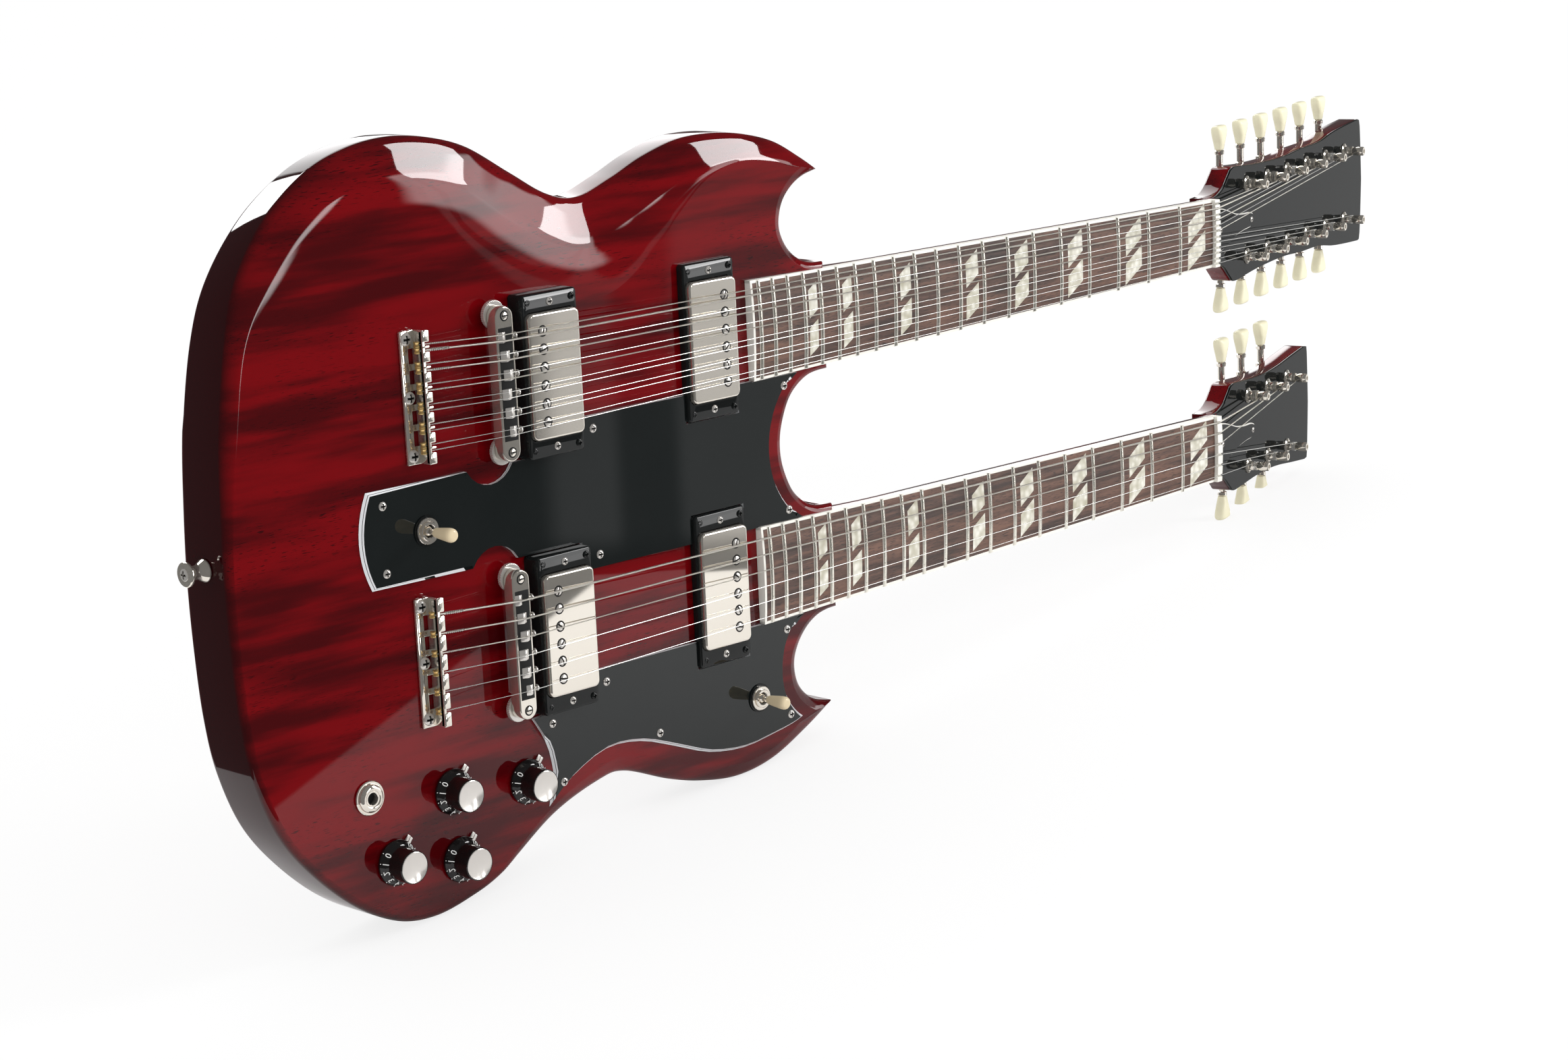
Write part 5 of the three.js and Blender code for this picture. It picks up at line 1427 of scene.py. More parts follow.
@dataclass
class StringSet:
    """The strings of one neck, from the tailpiece over the saddles and the nut to the posts."""

    finishes: Finishes
    neck: Neck
    nut_spread: float = 35.6
    bridge_spread: float = 50.5
    tail_spread: float = 53.0
    pair_gap: float = 3.2
    nut_height: float = 2.35
    saddle_height: float = 18.3
    tail_height: float = 7.4
    tail_reach: float = 13.7
    wrap_height: float = 6.5
    post_waist: float = 2.4
    thinnest_wound: float = 0.6
    twist: tuple[float, float, int] = (6.4, 11.0, 9)  # start, length and turns at the tail
    gauges: tuple[float, ...] = (1.2, 0.95, 0.7, 0.5, 0.42, 0.36)
    partners: tuple[float, ...] = (0.7, 0.55, 0.45, 0.36, 0.42, 0.36)
    saddle_travel: float = 5.5
    saddle_shares: tuple[float, ...] = (-0.9, -0.35, 0.15, -0.5, 0, 0.55)

    @property
    def tail_start(self) -> float:
        """X of the tailpiece's flange."""
        return BRIDGE_LINE - (60.2 if self.neck is Neck.TWELVE else 62.6)

    def tail_places(self) -> list[tuple[float, float]]:
        """Z of each string at the tailpiece, from the centre line, and its radius."""
        spread = self.tail_spread
        return [(self.across(spread, course) + shift, gauge / 2) for course, shift, gauge in self.places()]

    def places(self) -> list[tuple[int, float, float]]:
        """The strings from the lowest on.

        Returns:
            Course, sideways shift and diameter of each.
        """
        if self.neck is Neck.SIX:
            return [(course, 0.0, self.gauges[course]) for course in range(COURSES)]
        pairs = []
        for course in range(COURSES):
            pairs.append((course, self.pair_gap / 2, self.partners[course]))
            pairs.append((course, -self.pair_gap / 2, self.gauges[course]))
        return pairs

    def across(self, spread: float, course: int) -> float:
        """Z of a course from the centre line."""
        return spread / 2 - spread * course / (COURSES - 1)

    def saddle_step(self, course: int) -> float:
        """How far a saddle stands from the bridge line."""
        return self.saddle_shares[course] * self.saddle_travel / 2

    def post(self, index: int, count: int) -> tuple[float, int]:
        """Where a string's post stands.

        Args:
            index: the string, from the lowest on.
            count: how many strings there are.

        Returns:
            Its place along the face, and its side.
        """
        upper = index < count / 2
        number = index if upper else count - 1 - index
        return FIRST_POST + self.neck.pitch * number, 1 if upper else -1

    def build(self) -> None:
        """Makes the wound and plain strings, their twists at the tail and the turns on the posts."""
        neck, head = neck_frame(self.neck), head_frame(self.neck)
        groups: dict[str, list[Shape]] = {"wound": [], "plain": []}
        places = self.places()
        for index, (course, shift, gauge) in enumerate(places):
            radius = gauge / 2
            saddle_z = self.across(self.bridge_spread, course) + shift
            nut_z = self.across(self.nut_spread, course) + shift
            tail_z = self.neck.line + self.across(self.tail_spread, course) + shift
            tail = np.array([self.tail_start + self.tail_reach - 6.0, FACE_Y - self.tail_height, tail_z])
            height = FACE_Y - self.saddle_height + crown_fall(saddle_z)
            saddle = np.array([BRIDGE_LINE + self.saddle_step(course), height, self.neck.line + saddle_z])
            nut = (neck @ [2.5, crown_fall(nut_z) - self.nut_height, nut_z, 1])[:3]
            along, side = self.post(index, len(places))
            inner = side * (POST_OFFSET - self.post_waist - radius)
            post = (head @ [along, -self.wrap_height, inner, 1])[:3]
            path = np.array([tail, saddle, nut, post])
            spans = [np.linspace(a, b, 12, endpoint=False) for a, b in zip(path, path[1:])]
            kind = "wound" if gauge >= self.thinnest_wound else "plain"
            groups[kind].append(tube(np.concatenate([*spans, path[-1:]]), radius))
            way = (saddle - tail) / np.linalg.norm(saddle - tail)
            start, length, turns = self.twist
            twist = coil(tail + way * start, way * length, radius + 0.1, max(radius * 0.5, 0.16), turns)
            groups["plain"].append(twist)
            wrap = coil_round_post(2.6 + radius, radius, 3 if gauge > 0.6 else 5, max(gauge, 0.5))
            groups[kind].append(wrap.moved(along, 0.5 - self.wrap_height, side * POST_OFFSET).placed(head))
        word = self.neck.word
        make_piece(f"wound_strings_{word}", joined(groups["wound"]), self.finishes.wound_string)
        make_piece(f"plain_strings_{word}", joined(groups["plain"]), self.finishes.plain_string)


def crown_fall(z: float) -> float:
    """How far the crown falls below its middle: the sagitta of its circle."""
    return CROWN_RADIUS - math.sqrt(CROWN_RADIUS**2 - z**2)


def coil_round_post(radius: float, wire: float, turns: int, step: float) -> Shape:
    """Turns of a string on its post: a helix about Y that climbs by a step a turn.

    Args:
        radius: of the wire's centre round the post.
        wire: radius of the wire.
        turns: how many.
        step: between two turns.

    Returns:
        The turns.
    """
    share = np.linspace(0, 1, turns * 16 + 1)
    angle = share * turns * 2 * math.pi
    out = np.stack([np.cos(angle), np.zeros_like(angle), np.sin(angle)], -1)
    up = np.array([0.0, 1.0, 0.0])
    centre = out * radius + up * (share[:, None] * turns * step - turns * step * 0.3)
    phase = np.linspace(0, 2 * math.pi, 6, endpoint=False)[None, :, None]
    return skin(centre[:, None] + wire * (np.cos(phase) * out[:, None] + np.sin(phase) * up))


# Headstock hardware


@dataclass
class Tuners:
    """Posts, bushings, housings and tulip keys of one headstock, and its truss rod cover."""

    finishes: Finishes
    neck: Neck
    post_radius: float = 3.1
    post_height: float = 15.0
    plate_depth: float = 15.0
    housing: Triple = (16.0, 14.0, 8.0)
    button_start: float = 46.0
    button_length: float = 16.0
    button_width: float = 14.5
    button_thickness: float = 8.0
    button_shares: tuple[Triple, ...] = (
        (0.0, 0.2, 0.3), (0.01, 0.42, 0.62), (0.1, 0.46, 0.72), (0.3, 0.55, 0.86), (0.5, 0.76, 0.95),
        (0.68, 0.93, 1.0), (0.84, 1.0, 1.0), (0.93, 0.98, 0.9), (0.98, 0.9, 0.68), (1.0, 0.7, 0.4),
        (1.002, 0.0, 0.0),
    )
    bell_start: float = 7.0
    bell_length: float = 65.0
    bell_half: float = 14.0
    bell_shares: Pairs = (
        (0, 1), (0.12, 0.98), (0.3, 0.78), (0.5, 0.52), (0.72, 0.4), (0.88, 0.36), (0.97, 0.22), (1, 0),
    )

    @property
    def rows(self) -> int:
        """Posts on each side."""
        return 6 if self.neck is Neck.TWELVE else 3

    def post(self) -> Shape:
        """A turned post with a waist for the string and a dished end.

        Returns:
            The post, standing on height zero.
        """
        wide, high = self.post_radius, self.post_height
        foot = [(0, -0.9), (wide, -0.9), (wide, 1.4), (wide, 4.0)]
        waist = [(2.6, 5.2), (2.45, 6.5), (2.6, 8.0), (wide, 9.4)]
        end = [(wide, high - 0.7), (wide - 0.5, high), (1.4, high), (1.2, high - 1.2), (0, high - 1.2)]
        return lathe([*foot, *waist, *end], 40)

    def bushing(self) -> Shape:
        """A thin washer under a low round bushing."""
        rim = [(5.2, 0.5), (4.9, 0.8), (4.2, 1.0), (3.9, 1.4), (3.3, 1.4)]
        return lathe([(3.2, 0.0), (5.2, 0.0), *rim, (3.2, 0.0)])

    def button(self) -> Shape:
        """A tulip button: slices of a rounded rectangle that swell, flare and close along Z.

        Returns:
            The button.
        """
        smooth = smooth_rows(np.array(self.button_shares), 3)
        angle = np.linspace(0, 2 * math.pi, 40, endpoint=False)
        squared = np.sign(np.cos(angle)) * np.abs(np.cos(angle)) ** 0.6
        upright = np.sign(np.sin(angle)) * np.abs(np.sin(angle)) ** 0.6
        x = np.maximum(smooth[:, 1:2], 0) * squared[None] * self.button_width / 2
        y = np.maximum(smooth[:, 2:3], 0) * upright[None] * self.button_thickness / 2
        z = np.broadcast_to(self.button_start + self.button_length * smooth[:, :1], x.shape)
        return skin(np.stack([x, y, z], -1))

    def shaft(self) -> Shape:
        """The worm's shaft with its collar and a ring next to the button, along Z.

        Returns:
            The shaft.
        """
        start, end = POST_OFFSET + self.housing[1] / 2 + SEAT, self.button_start
        collar = [(0, start), (3.4, start), (3.4, start + 2.0), (2.3, start + 2.6)]
        ring = [(2.3, end - 3.2), (3.1, end - 2.8), (3.3, end - 0.8), (2.6, end)]
        return lathe([*collar, *ring, (2.6, end + 1.0), (0, end + 1.0)], 32).placed(UP_Z)

    def build(self) -> None:
        """Makes every tuner of the headstock."""
        word, head = self.neck.word, head_frame(self.neck)
        posts, housings, bushings = [], [], []
        depth = self.plate_depth + self.housing[2] / 2
        key_axis = turn_z(0.0, (0.0, depth, 0.0))
        length, width, thick = self.housing
        for number in range(self.rows):
            along = FIRST_POST + self.neck.pitch * number
            for side, row in ((1, "upper"), (-1, "lower")):
                z = side * POST_OFFSET
                posts.append(self.post().moved(along, 0, z))
                bushings.append(self.bushing().moved(along, 0, z))
                low = (along - length / 2, -self.plate_depth - thick, z - width / 2)
                high = (along + length / 2, -self.plate_depth, z + width / 2)
                housings.append(box(low, high, 1.6))
                name = f"{word}_{row}_{number + 1}"
                body = f"tuner_key_{name}_body"
                for part, shape, look, gone in (
                    ("button", self.button(), self.finishes.cream, (f"tuner_key_{name}",)),
                    ("key_shaft", self.shaft(), self.finishes.nickel, ()),
                ):
                    turned = (shape if side > 0 else shape.mirrored_z()).placed(key_axis).moved(along)
                    make_piece(f"{part}_{name}", turned.placed(head), look, body, gone)
        stands = joined([*posts, *bushings]).placed(head)
        make_piece(f"posts_{word}", stands, self.finishes.nickel, replaces=(f"headplate_{word}",))
        make_piece(f"tuner_housings_{word}", joined(housings).placed(head), self.finishes.nickel)
        self.cover(head)

    def cover(self, head: np.ndarray) -> None:
        """The bell-shaped cover: a black face on a thin white ply, and two screws.

        Args:
            head: the headstock's frame.
        """
        side = smooth_rows(np.array(self.bell_shares), 6) * [self.bell_length, self.bell_half]
        side[:, 1] = np.maximum(side[:, 1], 0)
        outline = np.concatenate([side, side[:-1][::-1] * [1, -1]]) + [self.bell_start, 0]
        word = self.neck.word
        white = plate(outline, SEAT, 1.5, 0.1, 1).placed(head)
        black = plate(inset(outline, 0.75), 1.4, 2.3, 0.15, 2).placed(head)
        gone = (f"truss_rod_cover_{word}",)
        make_piece(f"cover_ply_{word}", white, self.finishes.binding, replaces=gone)
        make_piece(f"cover_face_{word}", black, self.finishes.veneer)
        ends = [self.bell_start + self.bell_length * share for share in (0.07, 0.9)]
        screws = [screw_head(1.9, 0.9).moved(x, -2.3, 0) for x in ends]
        make_piece(f"cover_screws_{word}", joined(screws).placed(head), self.finishes.satin_nickel)


# Bridge and tailpiece


@dataclass
class BridgeAndTail:
    """The bridge with its saddles, posts and wheels, and the folded tailpiece behind it."""

    finishes: Finishes
    strings: StringSet
    length: float = 83.0
    width: float = 12.0
    top: float = 15.2
    depth: float = 7.6
    post_spacing: float = 73.0
    tail_length: float = 70.6
    flange: float = 5.2
    tail_height: float = 9.4
    sheet: float = 1.5
    window: float = 3.6
    tooth: float = 3.4
    notch: float = 1.9
    lip: float = 2.4
    end_tooth: float = 9.6
    screw_spread: float = 30.8

    def bridge(self) -> None:
        """Bar with round ends, saddles in a slot, their screws, and slotted posts."""
        neck, word, satin = self.strings.neck, self.strings.neck.word, self.finishes.satin_nickel
        frame = face_frame(BRIDGE_LINE, neck.line)
        outline = rounded_rectangle(self.width, self.length, self.width / 2 - 0.01, 14)
        top, low = self.top, self.top - self.depth
        rim = plate(outline, low, top, 0.7, 3)
        # painted shadow: a dark bed in the saddles' slot
        bed = box((-4.9, top - 1.0, -30.4), (4.9, top + 0.05, 30.4), 0.3)
        stem = lathe([(0, -2), (3.0, -2), (3.0, low + 1), (0, low + 1)], 32)
        head = lathe([(0, top - 1), (2.1, top - 1), (2.1, top + 0.3), (1.8, top + 0.5), (0, top + 0.5)], 40)
        ends = [side * self.post_spacing / 2 for side in (1, -1)]
        posts = [joined([stem, head]).moved(0, 0, z) for z in ends]
        saddles, screws = [], []
        for course in range(COURSES):
            z = self.strings.across(self.strings.bridge_spread, course)
            saddles.append(self.saddle(course, z))
            screw = screw_head(1.9, 0.8, cross=False, depth=0.4).placed(UP_X)
            screws.append(screw.moved(self.width / 2 + 1.3, 0.9 - top, z))
            screws.append(box((-4.0, top - 1.7, z - 0.9), (self.width / 2 + 1.4, top - 0.1, z + 0.9), 0.5))
        bar, gone = joined([rim, *posts]).placed(frame), (f"bridge_{word}",)
        make_piece(f"bridge_bar_{word}", bar, self.finishes.nickel, replaces=gone)
        make_piece(f"bridge_bed_{word}", bed.placed(frame), self.finishes.shadow)
        make_piece(f"saddles_{word}", joined(saddles).placed(frame), satin)
        make_piece(f"saddle_screws_{word}", joined(screws).placed(frame), satin)
        # painted shadow: dark rings round the post heads and dark slots across them
        lift = top + 0.04
        well = lathe([(0, lift - 0.5), (2.9, lift - 0.5), (2.9, lift), (2.0, lift), (0, lift)], 40)
        slot = joined([well, box((-1.9, top + 0.3, -0.4), (1.9, top + 0.55, 0.4), 0.1)])
        slots = joined([slot.moved(0, 0, z) for z in ends]).placed(frame)
        make_piece(f"post_slots_{word}", slots, self.finishes.shadow)
        for z, row in zip(ends, ("upper", "lower")):
            name = f"height_wheel_{word}_{row}"
            wheel = knurled(7.7, low - 2.7, low - SEAT, 40, 0.35).moved(0, 0, z).placed(frame)
            make_piece(f"{name}_milled", wheel, satin, f"{name}_body", (name,))

    def saddle(self, course: int, z: float) -> Shape:
        """A saddle: a section with a roof and a narrow ridge, carried along Z.

        Args:
            course: which one.
            z: its middle.

        Returns:
            The saddle.
        """
        ridge = self.strings.saddle_height - crown_fall(z) - 0.9
        floor, eave = self.top - 1.2, ridge - 1.6
        roof = [(3.2, eave), (0.35, ridge), (-0.35, ridge), (-3.2, eave)]
        profile = np.array([(-3.2, floor), (3.2, floor), *roof])
        shrink = np.array([0.92, 1.0, 1.0, 0.92])[:, None, None]
        rings = profile.mean(0) + (profile - profile.mean(0)) * shrink
        along = np.array([z - 2.8, z - 2.6, z + 2.6, z + 2.8])[:, None]
        x = rings[..., 0] + self.strings.saddle_step(course)
        return skin(np.stack(np.broadcast_arrays(x, -rings[..., 1], along), -1))

    def tailpiece(self) -> None:
        """A screwed flange cut into teeth, an upright wall, and a lip notched for each string."""
        strings, word = self.strings, self.strings.neck.word
        frame = face_frame(strings.tail_start, strings.neck.line)
        half, thick, top, reach = self.tail_length / 2, self.sheet, self.tail_height, strings.tail_reach
        wall = self.flange + self.window
        places = [strings.across(strings.tail_spread, c) for c in range(COURSES)]
        flange = box((0.0, SEAT, -half), (self.flange, SEAT + thick, half), 0.45)
        upright = box((wall, SEAT, -half), (wall + thick, top - 0.3, half), 0.35)
        edges = [half, *[e for z in places for e in (z + self.tooth / 2, z - self.tooth / 2)], -half]
        edges = [half, half - self.end_tooth, *edges[3:-3], self.end_tooth - half, -half]
        teeth = [
            box((self.flange - 0.6, SEAT + 0.02, low), (wall + 0.6, SEAT + thick - 0.02, high), 0.3)
            for high, low in zip(edges[::2], edges[1::2])
        ]
        centres = [z for z, _ in strings.tail_places()]
        notches = [e for z in sorted(centres, reverse=True) for e in (z + self.notch / 2, z - self.notch / 2)]
        cuts = [half, *notches, -half]
        lips = [
            box((wall + 0.1, top - self.lip, low), (reach, top, high), min(0.75, (high - low) * 0.42))
            for high, low in zip(cuts[::2], cuts[1::2])
        ]
        rail_half = half - 0.4
        rail = box((wall, top - self.lip - 0.4, -rail_half), (wall + thick + 0.5, top - 0.5, rail_half), 0.3)
        metal, gone = joined([flange, upright, rail, *teeth, *lips]).placed(frame), (f"tailpiece_{word}",)
        make_piece(f"tail_plate_{word}", metal, self.finishes.nickel, replaces=gone)
        waist = [(1.7, -1.5), (1.9, -1.2), (1.2, 0), (1.9, 1.2), (1.7, 1.5)]
        ball = lathe([(0, -1.5), *waist, (0, 1.5)], 24).placed(UP_Z)
        balls = [ball.moved(wall - 1.3, 3.2 - top, z) for z in centres]
        make_piece(f"ball_ends_{word}", joined(balls).placed(frame), self.finishes.brass)
        rows = (self.screw_spread, 0.0, -self.screw_spread)
        screws = [screw_head(3.4, 1.7).moved(self.flange / 2 + 1.3, -SEAT - thick, z) for z in rows]
        make_piece(f"tail_screws_{word}", joined(screws).placed(frame), self.finishes.satin_nickel)


# Pickups


@dataclass
class Pickup:
    """A covered pickup in its ring, with pole, height and corner screws."""

    finishes: Finishes
    neck: Neck
    where: str
    length: float = 68.0
    width: float = 36.0
    ring_length: float = 88.5
    ring_width: float = 40.2
    rise: float = 3.2
    pole_spread: float = 49.0
    pole_inset: float = 9.5
    pole_turns: tuple[int, ...] = (20, 75, 130, 45, 160, 100)
    corner_inset: float = 4.2

    @property
    def height(self) -> float:
        """Height of the ring above the face."""
        return 10.8 if self.where == "bridge" else 4.5

    @property
    def middle(self) -> float:
        """X of the pickup's middle."""
        return BRIDGE_LINE + (35.6 if self.where == "bridge" else 159.0)

    def ring(self) -> Shape:
        """The ring: an outer wall, a slanted top and an inner wall, with softened edges.

        Returns:
            The ring.
        """
        outer = rounded_rectangle(self.ring_width, self.ring_length, 2.2, 8)
        inner = rounded_rectangle(self.width + 0.8, self.length + 0.8, 4.0, 8)
        top = self.height
        levels = [
            (outer, SEAT),
            (outer, top - 1.0),
            (inset(outer, 0.35), top - 0.4),
            (inset(outer, 0.9), top),
            (inset(inner, -0.4), top),
            (inner, top - 0.4),
            (inner, SEAT),
            (outer, SEAT),
        ]
        rings = np.array([np.stack([o[:, 0], np.full(len(o), -h), o[:, 1]], -1) for o, h in levels])
        slant = 1.2 * rings[..., 0] / self.ring_width * np.clip(-rings[..., 1] / top, 0, 1)
        rings[..., 1] += slant
        return skin(rings, caps=False)

    def build(self) -> None:
        """Makes the pickup."""
        name = f"{self.neck.word}_{self.where}"
        frame = face_frame(self.middle, self.neck.line)
        side = -1 if self.where == "bridge" else 1
        top = self.height + self.rise
        cover = plate(rounded_rectangle(self.width, self.length, 3.5, 10), -2.0, top, 1.1, 5).placed(frame)
        make_piece(f"cover_{name}", cover, self.finishes.nickel, replaces=(f"pickup_{name}",))
        ring, gone = self.ring().placed(frame), (f"pickup_ring_{name}",)
        make_piece(f"ring_{name}", ring, self.finishes.black, replaces=gone)
        pole_x = side * (self.width / 2 - self.pole_inset)
        poles, holes = [], []
        # painted shadow: a dark disc round each pole screw where the cover's hole is
        well = [(0, top), (3.15, top), (3.15, top + 0.05), (0, top + 0.05)]
        for index, angle in enumerate(np.radians(self.pole_turns)):
            z = self.pole_spread / 2 - self.pole_spread * index / (COURSES - 1)
            pole = screw_head(2.35, 0.75, cross=False, depth=0.7).placed(turn_y(-angle))
            poles.append(pole.moved(pole_x, -top - 0.05, z))
            holes.append(lathe(well, 32).moved(pole_x, 0, z))
        make_piece(f"poles_{name}", joined(poles).placed(frame), self.finishes.satin_nickel)
        make_piece(f"pole_hole_shadows_{name}", joined(holes).placed(frame), self.finishes.shadow)
        ear = (self.length / 2 + self.ring_length / 2) / 2
        heights = joined([screw_head(2.2, 1.1).moved(0.0, -self.height, s * ear) for s in (1, -1)])
        make_piece(f"height_screws_{name}", heights.placed(frame), self.finishes.satin_nickel)
        reach_x, reach_z = self.ring_width / 2 - self.corner_inset, self.ring_length / 2 - self.corner_inset
        corners = [
            screw_head(2.0, 0.7).moved(a * reach_x, -self.height + 0.12 * a, b * reach_z)
            for a in (1, -1)
            for b in (1, -1)
        ]
        make_piece(f"corner_screws_{name}", joined(corners).placed(frame), self.finishes.black)


# Controls


@dataclass
class Controls:
    """Knobs with numbers and pointers, both switches, the jack and the guard screws."""

    finishes: Finishes
    frame: dict
    knobs: tuple[tuple[str, float, float], ...] = (
        ("knob_twelve_volume", 0.31, -0.347),
        ("knob_twelve_tone", 0.431, -0.363),
        ("knob_six_volume", 0.214, -0.418),
        ("knob_six_tone", 0.316, -0.44),
    )
    square_from: float = 170.0
    square_to: float = 216.0
    square_reach: float = 60.0
    board_from: float = 370.0
    board_reach: float = 34.0
    pointer_angle: float = -38.0
    number_step: float = 27.0
    digit_size: float = 4.9
    digit_lean: float = 48.0
    digit_radius: float = 10.8
    digit_height: float = 4.45
    tick_radius: float = 12.0
    guard_screws: Pairs = (
        (113.9, 18.0), (113.6, -18.0), (262.6, 35.2), (262.6, -35.2), (410.0, 36.2), (410.0, -36.2),
        (220.8, -122.7), (226.7, -157.5), (300.2, -145.8), (262.0, -107.6), (404.2, -106.3),
        (404.6, -157.6),
    )

    def knob(self, name: str, x: float, z: float) -> None:
        """A top-hat knob with a metal cap, numbers round its skirt and a pointer beside it.

        Args:
            name: the CAD node.
            x: place on the face.
            z: place on the face.
        """
        frame, body, satin = face_frame(x, z), f"{name}_body", self.finishes.satin_nickel
        skirt = [(0, 0.8), (12.5, 0.8), (12.7, 1.0), (12.7, 1.9), (12.45, 2.3)]
        flare = np.array([skirt[-1], (10.9, 4.3), (9.6, 5.2), (9.35, 6.8), (9.3, 8.4), (9.25, 10.5)])
        end = [(9.15, 15.2), (9.0, 15.8), (8.8, 16.0), (8.7, 15.7), (0, 15.7)]
        whole = lathe([*skirt, *smooth_rows(flare, 4)[1:], *end], 96)
        make_piece(f"{name}_hat", whole.placed(frame), self.finishes.knob, body, (name,))
        cap = lathe([(0, 15.6), (8.6, 15.6), (8.6, 15.9), (8.3, 16.05), (7.9, 15.85), (0, 15.85)], 72)
        make_piece(f"{name}_cap", cap.placed(frame), satin, body)
        ink, ticks = [], []
        mark = box((-0.2, 0.0, -0.9), (0.2, 0.2, 0.9), 0.05)
        for number in range(11):
            ink.append(self.digit(number))
            angle = self.digit_angle(number)
            out = np.array([-math.sin(angle), 0, math.cos(angle)])
            ticks.append(mark.placed(turn_y(angle)).moved(*(out * self.tick_radius + [0, -2.3, 0])))
        shape = joined([*ink, *ticks]).placed(frame)
        make_piece(f"{name}_numbers", shape, self.finishes.white, body)
        foot = box((-1.2, 0.25, 11.4), (1.2, 0.7, 16.2), 0.2)
        arm = box((-0.9, 2.6, 11.0), (0.9, 3.1, 15.4), 0.2)
        pointer = joined([foot, arm]).placed(turn_y(math.radians(self.pointer_angle))).placed(frame)
        make_piece(f"{name}_pointer", pointer, satin)

    def digit_angle(self, number: int) -> float:
        """Angle of a number on the skirt, with ten at the pointer."""
        return math.radians(self.pointer_angle - (10 - number) * self.number_step)

    def digit(self, number: int) -> Shape:
        """A number standing on the slanted skirt, made from Blender's own font.

        Args:
            number: what it shows.

        Returns:
            Its shape, in the knob's frame.
        """
        curve = bpy.data.curves.new(f"number_{number}", "FONT")
        curve.body, curve.size = str(number), self.digit_size
        curve.align_x, curve.align_y = "CENTER", "CENTER"
        curve.extrude, curve.offset, curve.resolution_u = 0.05, 0.02, 2
        holder = in_scene(curve.name, curve)
        bpy.context.view_layer.update()
        mesh = holder.evaluated_get(bpy.context.evaluated_depsgraph_get()).to_mesh()
        flat = rows_of(mesh.vertices, "co", 3)
        faces = [np.array([list(face.vertices)]) for face in mesh.polygons]
        bpy.data.objects.remove(holder)
        bpy.data.curves.remove(curve)
        angle, lean = self.digit_angle(number), math.radians(self.digit_lean)
        out, rise = np.array([-math.sin(angle), 0, math.cos(angle)]), np.array([0, -1.0, 0])
        along = np.array([math.cos(angle), 0, math.sin(angle)])
        up = rise * math.sin(lean) - out * math.cos(lean)
        normal = out * math.sin(lean) + rise * math.cos(lean)
        place = flat[:, :1] * along + flat[:, 1:2] * up + flat[:, 2:] * normal
        return Shape(place + out * self.digit_radius + rise * self.digit_height + normal * 0.12, faces)

    def switch(self, name: str, x: float, z: float) -> None:
        """A toggle switch: knurled washer, ring nut with notches, and a cream-tipped lever.

        Args:
            name: the start of its nodes' names.
            x: place on the face.
            z: place on the face.
        """
        frame, nickel = face_frame(x, z, GUARD_TOP + SEAT), self.finishes.nickel
        bore = lathe([(0, 0.5), (3.4, 0.5), (3.4, 0.6), (0, 0.6)], 32)
        dark = joined([washer(3.0, 8.3, 0.0, 0.5, 0.1), bore]).placed(frame)
        make_piece(f"{name}_washer", dark, self.finishes.black)
        nut = joined([knurled_ring(3.6, 7.2, 0.5, 1.9, 60), washer(3.5, 5.4, 1.9, 3.2, 0.4)]).placed(frame)
        make_piece(f"{name}_ring_nut", nut, nickel, replaces=(f"{name}_bushing",))
        ball = [(2.9 * math.sin(t), -2.9 * math.cos(t)) for t in np.linspace(0.5, 2.6, 14)]
        pivot, body = face_frame(x, z, GUARD_TOP + 1.0), f"{name}_lever_body"
        stem = lathe([(0, -6.0), (1.5, -6.0), *ball, (1.5, 9.2), (0, 9.2)], 40).placed(pivot)
        make_piece(f"{name}_stem", stem, nickel, body, (f"{name}_lever",))
        side = [(2.5, 7.1), (3.0, 10.6), (3.45, 14.6), (3.8, 18.0)]
        end = [(3.75, 20.0), (3.2, 21.3), (2.0, 21.9), (0, 22.0)]
        tip = lathe([(0, 6.8), (2.3, 6.8), *smooth_rows(np.array([*side, *end]), 4)], 48).placed(pivot)
        make_piece(f"{name}_tip", tip, self.finishes.amber, body)

    def jack(self) -> None:
        """The socket: a dished washer and a domed nut round the bore, with a painted shadow disc in the bore.
        """
        x, z = TAIL_EDGE + BODY_LENGTH * 0.18, BODY_HEIGHT * -0.324
        frame = face_frame(x, z)
        disc = washer(5.7, 9.4, SEAT, SEAT + 1.2, 0.35)
        dome = [(7.9, 2.3), (7.3, 3.1), (6.2, 3.6), (5.0, 3.7), (4.6, 3.5)]
        nut = lathe([(4.6, 1.5), (7.9, 1.5), *dome, (4.6, 1.5)], 64)
        sleeve = washer(3.3, 4.6, -10.0, 3.5, 0.2)
        shape = joined([disc, nut, sleeve]).placed(frame)
        make_piece("jack_socket", shape, self.finishes.nickel, replaces=("output_jack",))
        # painted shadow: a dark disc inside the bore
        dark = lathe([(0, 0.1), (4.0, 0.1), (4.0, SEAT), (0, SEAT)], 32).placed(frame)
        make_piece("jack_bore_shadow", dark, self.finishes.shadow)

    def strap_button(self, name: str, matrix: np.ndarray) -> None:
        """A turned strap button with a screw in its end.

        Args:
            name: the CAD node.
            matrix: its frame.
        """
        neck = [(6.0, 1.0), (5.3, 2.2), (4.1, 4.2), (3.7, 6.2), (3.9, 8.0), (4.9, 9.7)]
        head = [(6.2, 10.6), (6.6, 11.2), (6.6, 12.2), (6.1, 12.8)]
        body = lathe([(0, 0.3), (6.0, 0.3), *smooth_rows(np.array([*neck, *head]), 4), (0, 12.8)], 72)
        make_piece(f"{name}_turned", body.placed(matrix), self.finishes.nickel, replaces=(name,))
        screw = screw_head(3.3, 0.9).moved(0, -12.8, 0)
        make_piece(f"{name}_screw", screw.placed(matrix), self.finishes.satin_nickel)

